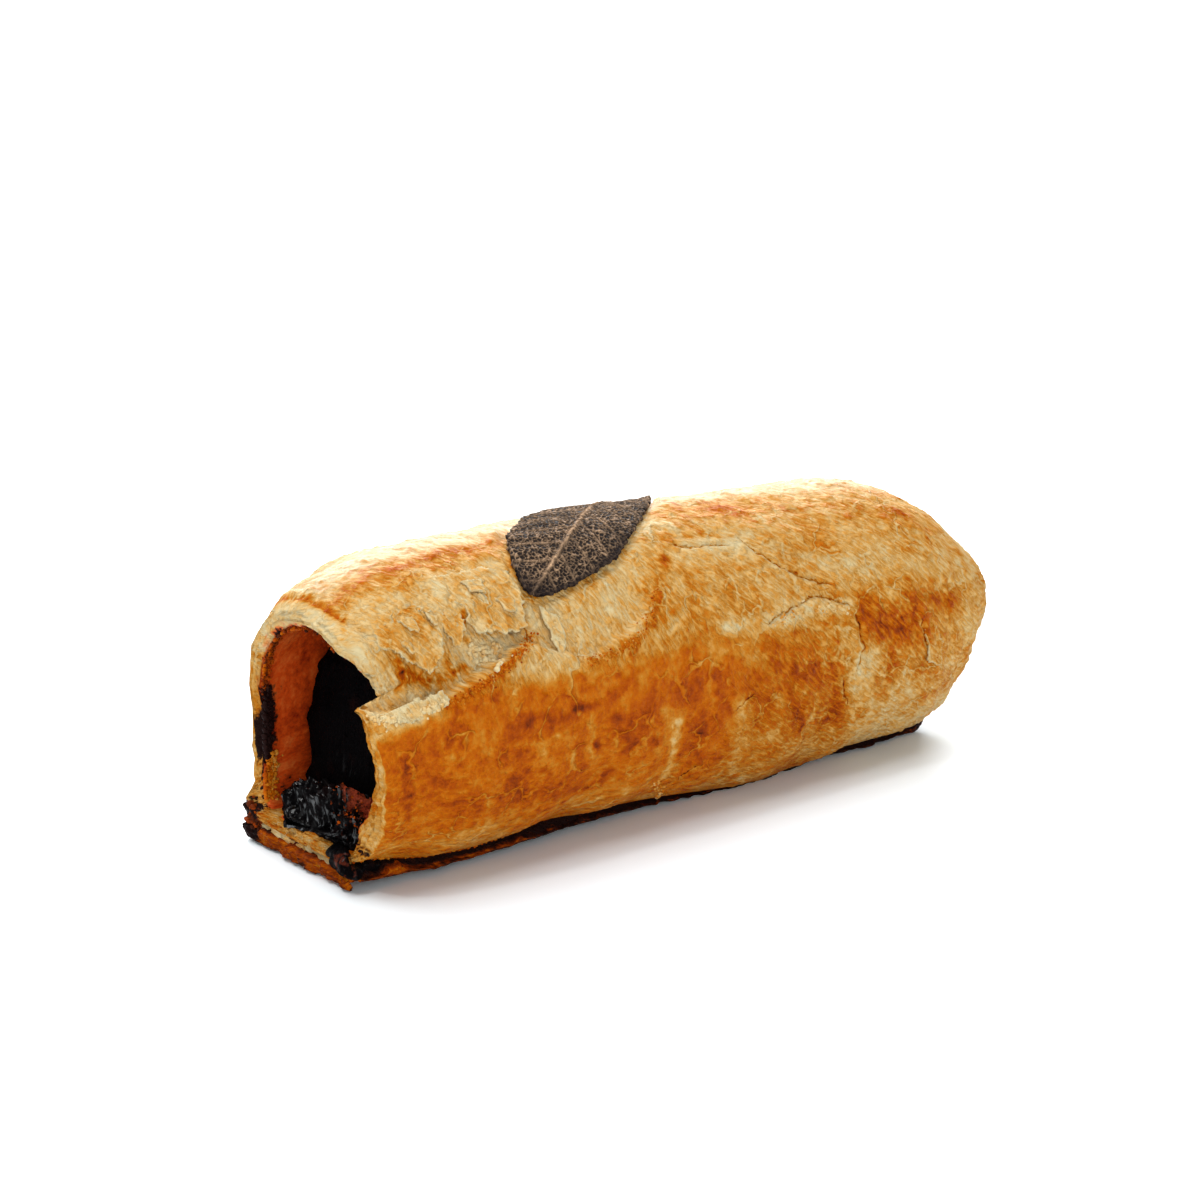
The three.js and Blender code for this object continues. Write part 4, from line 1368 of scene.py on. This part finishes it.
def oven_mottle():
    group = bpy.data.node_groups.new("oven_mottle", "ShaderNodeTree")
    group.interface.new_socket("Place", in_out="INPUT", socket_type="NodeSocketVector")
    group.interface.new_socket("Patches per metre", in_out="INPUT", socket_type="NodeSocketFloat")
    group.interface.new_socket("Patches", in_out="OUTPUT", socket_type="NodeSocketFloat")
    group.interface.new_socket("Specks", in_out="OUTPUT", socket_type="NodeSocketFloat")
    start = group.nodes.new("NodeGroupInput")
    end = group.nodes.new("NodeGroupOutput")
    place, scale = start.outputs[0], start.outputs[1]
    group.links.new(clouds(group, place, scale, 3.0), end.inputs[0])
    group.links.new(clouds(group, place, math(group, "MULTIPLY", scale, 6.0), 4.0, 0.65), end.inputs[1])
    return group


MOTTLE = oven_mottle()


def mottle(tree, place, per_metre):
    made = node(tree, "Group", None, node_tree=MOTTLE)
    tree.links.new(place, made.inputs[0])
    made.inputs[1].default_value = per_metre
    return made.outputs[0], made.outputs[1]


# %% [markdown]
# ## Baked pastry
# The browning mark goes through a ramp of colours from cream to burnt. Mottle, fine streaks and thin
# creases break it up, painted shade darkens the cracks, and the inner wall is stained by the juice.
# The crest has a soft glaze, the torn layers are dull, and the stained wall is smoother.

# %% Pastry material
BAKED = [
    (0.00, seen(205, 186, 142)),
    (0.18, seen(206, 171, 113)),
    (0.34, seen(200, 147, 72)),
    (0.48, seen(184, 114, 28)),
    (0.60, seen(178, 91, 2)),
    (0.72, seen(160, 69, 1)),
    (0.84, seen(130, 50, 5)),
    (1.00, seen(56, 23, 10)),
]
LEFT_LEAN = 0.45
RIGHT_LEAN = 0.85


def streak_field(tree, place, lean):
    """Fine streaks that lean by an angle on the sheet, as a value round zero."""
    leant = node(tree, "Mapping", {"Vector": place, "Rotation": (0.0, 0.0, lean)}).outputs[0]
    streaked = node(tree, "Mapping", {"Vector": leant, "Scale": (1700.0, 420.0, 1.0)}).outputs[0]
    return clouds(tree, streaked, 1.0, 3.0, 0.6)


def crack_lines(tree, specks):
    """Dark thin lines of painted shade along the cracks, and the pale broken edge beside them."""
    apart = add_up(tree, mark(tree, "crack"), (specks, 0.5))
    line = fade(tree, math(tree, "ABSOLUTE", apart), 0.22, 0.06)
    line = times(tree, line, fade(tree, specks, -0.12, 0.06))
    beside = times(tree, fade(tree, apart, 1.1, 0.3), math(tree, "GREATER_THAN", apart, 0.15))
    near = mark(tree, "cracked")
    return times(tree, line, near), times(tree, beside, near)


def crazing(tree, place, patches):
    """Thin creases round the blisters of the crust, and the soft slope beside them."""
    wander = node(tree, "TexNoise", {"Vector": place, "Scale": 300.0, "Detail": 2.0}).outputs["Color"]
    sway = {0: wander, 1: (0.007, 0.007, 0.0), 2: place}
    moved = node(tree, "VectorMath", sway, operation="MULTIPLY_ADD").outputs[0]
    blisters = {"Vector": moved, "Scale": 135.0}
    cells = node(tree, "TexVoronoi", blisters, feature="DISTANCE_TO_EDGE").outputs[0]
    shown = fade(tree, patches, -0.02, 0.08)
    crease, slope = fade(tree, cells, 0.05, 0.015), fade(tree, cells, 0.20, 0.05)
    return times(tree, crease, shown), times(tree, slope, shown)


def pastry_material():
    material, tree, shader = new_material("baked_pastry")
    place = sheet_place(tree)
    patches, specks = mottle(tree, place, 150.0)
    left, right = streak_field(tree, place, LEFT_LEAN), streak_field(tree, place, RIGHT_LEAN)
    streaks = add_up(tree, left, (math(tree, "SUBTRACT", right, left), mark(tree, "lean")))
    streaks = times(tree, streaks, mark(tree, "flaky"))
    torn, juice, char = mark(tree, "torn"), mark(tree, "juice"), mark(tree, "char")
    line, beside = crack_lines(tree, specks)
    crease, slope = crazing(tree, place, patches)
    blotch = clouds(tree, place, 420.0, 2.0)
    scales = fade(tree, streaks, -0.03, 0.03, -0.5, 0.5)
    brown = add_up(tree, mark(tree, "bake"), (patches, 0.32), (blotch, 0.38), (specks, 0.42))
    brown = add_up(tree, brown, (streaks, 0.40), (scales, 0.05), (crease, -0.20), (slope, 0.06))
    # painted shade darkens the crust along the cracks
    brown = add_up(tree, brown, (line, 0.30), (beside, -0.14))
    colour = ramp(tree, brown, BAKED)
    wet = add_up(tree, 0.48, (patches, 1.7), (specks, 1.2))
    stain = ramp(tree, wet, [
        (0.0, seen(124, 28, 10)),
        (0.5, seen(196, 70, 18)),
        (1.0, seen(216, 112, 48)),
    ])
    colour = mix(tree, juice, colour, stain)
    burn = fade(tree, add_up(tree, char, (specks, 1.6)), 0.3, 0.6)
    burn = times(tree, burn, fade(tree, char, 0.02, 0.2))
    colour = mix(tree, burn, colour, seen(30, 14, 12))
    tree.links.new(colour, shader.inputs["Base Color"])
    rough = add_up(tree, 0.5, (torn, 0.25), (specks, 0.3), (juice, -0.12))
    tree.links.new(rough, shader.inputs["Roughness"])
    shader.inputs["Specular IOR Level"].default_value = 0.04
    tree.links.new(mark(tree, "glaze"), shader.inputs["Coat Weight"])
    shader.inputs["Coat Roughness"].default_value = 0.5
    height = add_up(tree, 0.0, (specks, 0.7), (streaks, 0.6), (blotch, 1.9), (scales, 0.25))
    height = add_up(tree, height, (crease, 0.40), (line, -0.8))
    height = times(tree, height, add_up(tree, 1.0, (juice, -0.85)))
    relief = node(tree, "Bump", {"Height": height, "Strength": 0.75, "Distance": 0.001})
    tree.links.new(relief.outputs[0], shader.inputs["Normal"])
    return material


PASTRY_FINISH = pastry_material()
for piece in (pastry, flakes, lip, crumbs):
    piece.data.materials.append(PASTRY_FINISH)
print("pastry material done")

# %% [markdown]
# ## Cooked filling
# The cooked filling is nearly black, charred and partly painted shade of the dark hollow, with red brown
# where it is thin, and the tongue that ran out is sticky, with a shine along its folds. Crumbs of it at
# the back are a dull red brown.

# %% Filling material


def filling_material():
    material, tree, shader = new_material("cooked_filling")
    place = node(tree, "TexCoord").outputs["Object"]
    patches, specks = mottle(tree, place, 260.0)
    # nearly black: charred, and partly painted shade of the dark hollow
    burnt_and_shade = ramp(tree, add_up(tree, 0.5, (patches, 1.2)), [
        (0.0, seen(3, 2, 3)),
        (0.6, seen(8, 5, 6)),
        (1.0, seen(34, 12, 9)),
    ])
    ragged = add_up(tree, mark(tree, "crumb"), (clouds(tree, place, 420.0, 4.0), 1.8))
    crumb = fade(tree, ragged, 0.45, 0.95)
    colour = mix(tree, crumb, burnt_and_shade, seen(172, 76, 48))
    tree.links.new(colour, shader.inputs["Base Color"])
    sticky = mark(tree, "sticky")
    rough = add_up(tree, 0.8, (sticky, -0.2), (specks, 0.2))
    tree.links.new(rough, shader.inputs["Roughness"])
    shader.inputs["Specular IOR Level"].default_value = 0.02
    folded = node(tree, "Mapping", {"Vector": place, "Scale": (900.0, 1500.0, 420.0)}).outputs[0]
    folds = clouds(tree, folded, 1.0, 2.0)
    shine = fade(tree, folds, 0.0, 0.14, 0.02, 0.75)
    wet = times(tree, sticky, shine, add_up(tree, 1.0, (crumb, -0.7)))
    tree.links.new(wet, shader.inputs["Coat Weight"])
    shader.inputs["Coat Roughness"].default_value = 0.05
    height = add_up(tree, specks, (folds, 1.5))
    relief = node(tree, "Bump", {"Height": height, "Strength": 1.0, "Distance": 0.0012})
    tree.links.new(relief.outputs[0], shader.inputs["Normal"])
    return material


FILLING_FINISH = filling_material()
for piece in (filling, drip):
    piece.data.materials.append(FILLING_FINISH)
print("filling material done")

# %% [markdown]
# ## Baked sage
# Baked sage turns a dark brown grey. The veins and the net are the paler lines, and the tip, which
# stood out from the roll, is nearly black. A painted shadow darkens the lower rim, where the edge curls
# up. A dull surface makes the leaf look dry.

# %% Leaf material


def leaf_material():
    material, tree, shader = new_material("baked_sage")
    place = sheet_place(tree)
    patches, specks = mottle(tree, place, 200.0)
    blade = ramp(tree, add_up(tree, 0.5, (patches, 1.2)), [
        (0.0, seen(10, 5, 4)),
        (0.5, seen(20, 11, 8)),
        (1.0, seen(40, 26, 15)),
    ])
    net = math(tree, "MAXIMUM", times(tree, mark(tree, "net"), 0.62), mark(tree, "vein"))
    net = times(tree, net, fade(tree, specks, -0.2, 0.12), fade(tree, patches, -0.2, 0.08, 0.4))
    colour = mix(tree, net, blade, seen(212, 172, 134))
    # the burnt tip, and a painted shadow along the lower rim
    colour = mix(tree, times(tree, mark(tree, "burnt_and_shade"), 0.8), colour, seen(24, 14, 14))
    tree.links.new(colour, shader.inputs["Base Color"])
    shader.inputs["Roughness"].default_value = 0.72
    shader.inputs["Specular IOR Level"].default_value = 0.15
    height = add_up(tree, specks, (mark(tree, "net"), 1.0))
    relief = node(tree, "Bump", {"Height": height, "Strength": 0.5, "Distance": 0.0004})
    tree.links.new(relief.outputs[0], shader.inputs["Normal"])
    return material


leaf.data.materials.append(leaf_material())
print("leaf material done")

# %% [markdown]
# ## Floor and light
# The roll stands on a plain white table under one large soft light from high up. A wide light low behind
# it washes out the crest, a soft light and a pale world fill the front, and a small light by the mouth
# makes the wet filling shine.

# %% Floor and world
TABLE_COLOUR = (0.86, 0.92, 0.95, 1.0)
WORLD_STRENGTH = 0.38


def make_floor():
    bm = bmesh.new()
    bmesh.ops.create_grid(bm, x_segments=2, y_segments=2, size=6.0)
    mesh = to_mesh(bm, "floor")
    material, tree, shader = new_material("white_table")
    shader.inputs["Base Color"].default_value = TABLE_COLOUR
    shader.inputs["Roughness"].default_value = 0.8
    mesh.materials.append(material)
    return add_object("floor", mesh)


floor = make_floor()
world = bpy.data.worlds.new("studio")
world.use_nodes = True
world.node_tree.nodes["Background"].inputs["Color"].default_value = (1.0, 1.0, 1.0, 1.0)
world.node_tree.nodes["Background"].inputs["Strength"].default_value = WORLD_STRENGTH
bpy.context.scene.world = world
bpy.context.scene.view_settings.view_transform = "Standard"
bpy.context.scene.view_settings.look = "None"

# %% Lights


def aim(name, kind, turn, rise, distance, **settings):
    """A light of a kind, aimed at the roll from a turn and a rise in degrees."""
    data = bpy.data.lights.new(name, kind)
    for key, value in settings.items():
        setattr(data, key, value)
    lamp = add_object(name, data)
    lamp.matrix_world = looking_from(turn, rise, distance)
    lamp.visible_camera = False
    return lamp


aim("sky_light", "SUN", 185, 76, 2.0, energy=3.1, angle=np.radians(60))
aim("back_light", "AREA", 150, 25, 1.3, energy=26.0, shape="RECTANGLE", size=1.4, size_y=0.4)
aim("front_light", "AREA", -25, 13, 1.2, energy=6.8, size=0.8)
aim("small_light", "AREA", -95, 55, 0.8, energy=0.9, size=0.05)
print("lights done")

# %% [markdown]
# ## Hand over
# Each piece moves with the one body of the roll and stands for its solid.

# %% Finish
for piece, solid in ((pastry, "pastry"), (filling, "filling"), (leaf, "sage_leaf")):
    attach(piece, "root")
    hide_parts(solid)
for piece, solid in ((flakes, "pastry"), (lip, "pastry"), (crumbs, "pastry"), (drip, "filling")):
    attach(piece, "root")
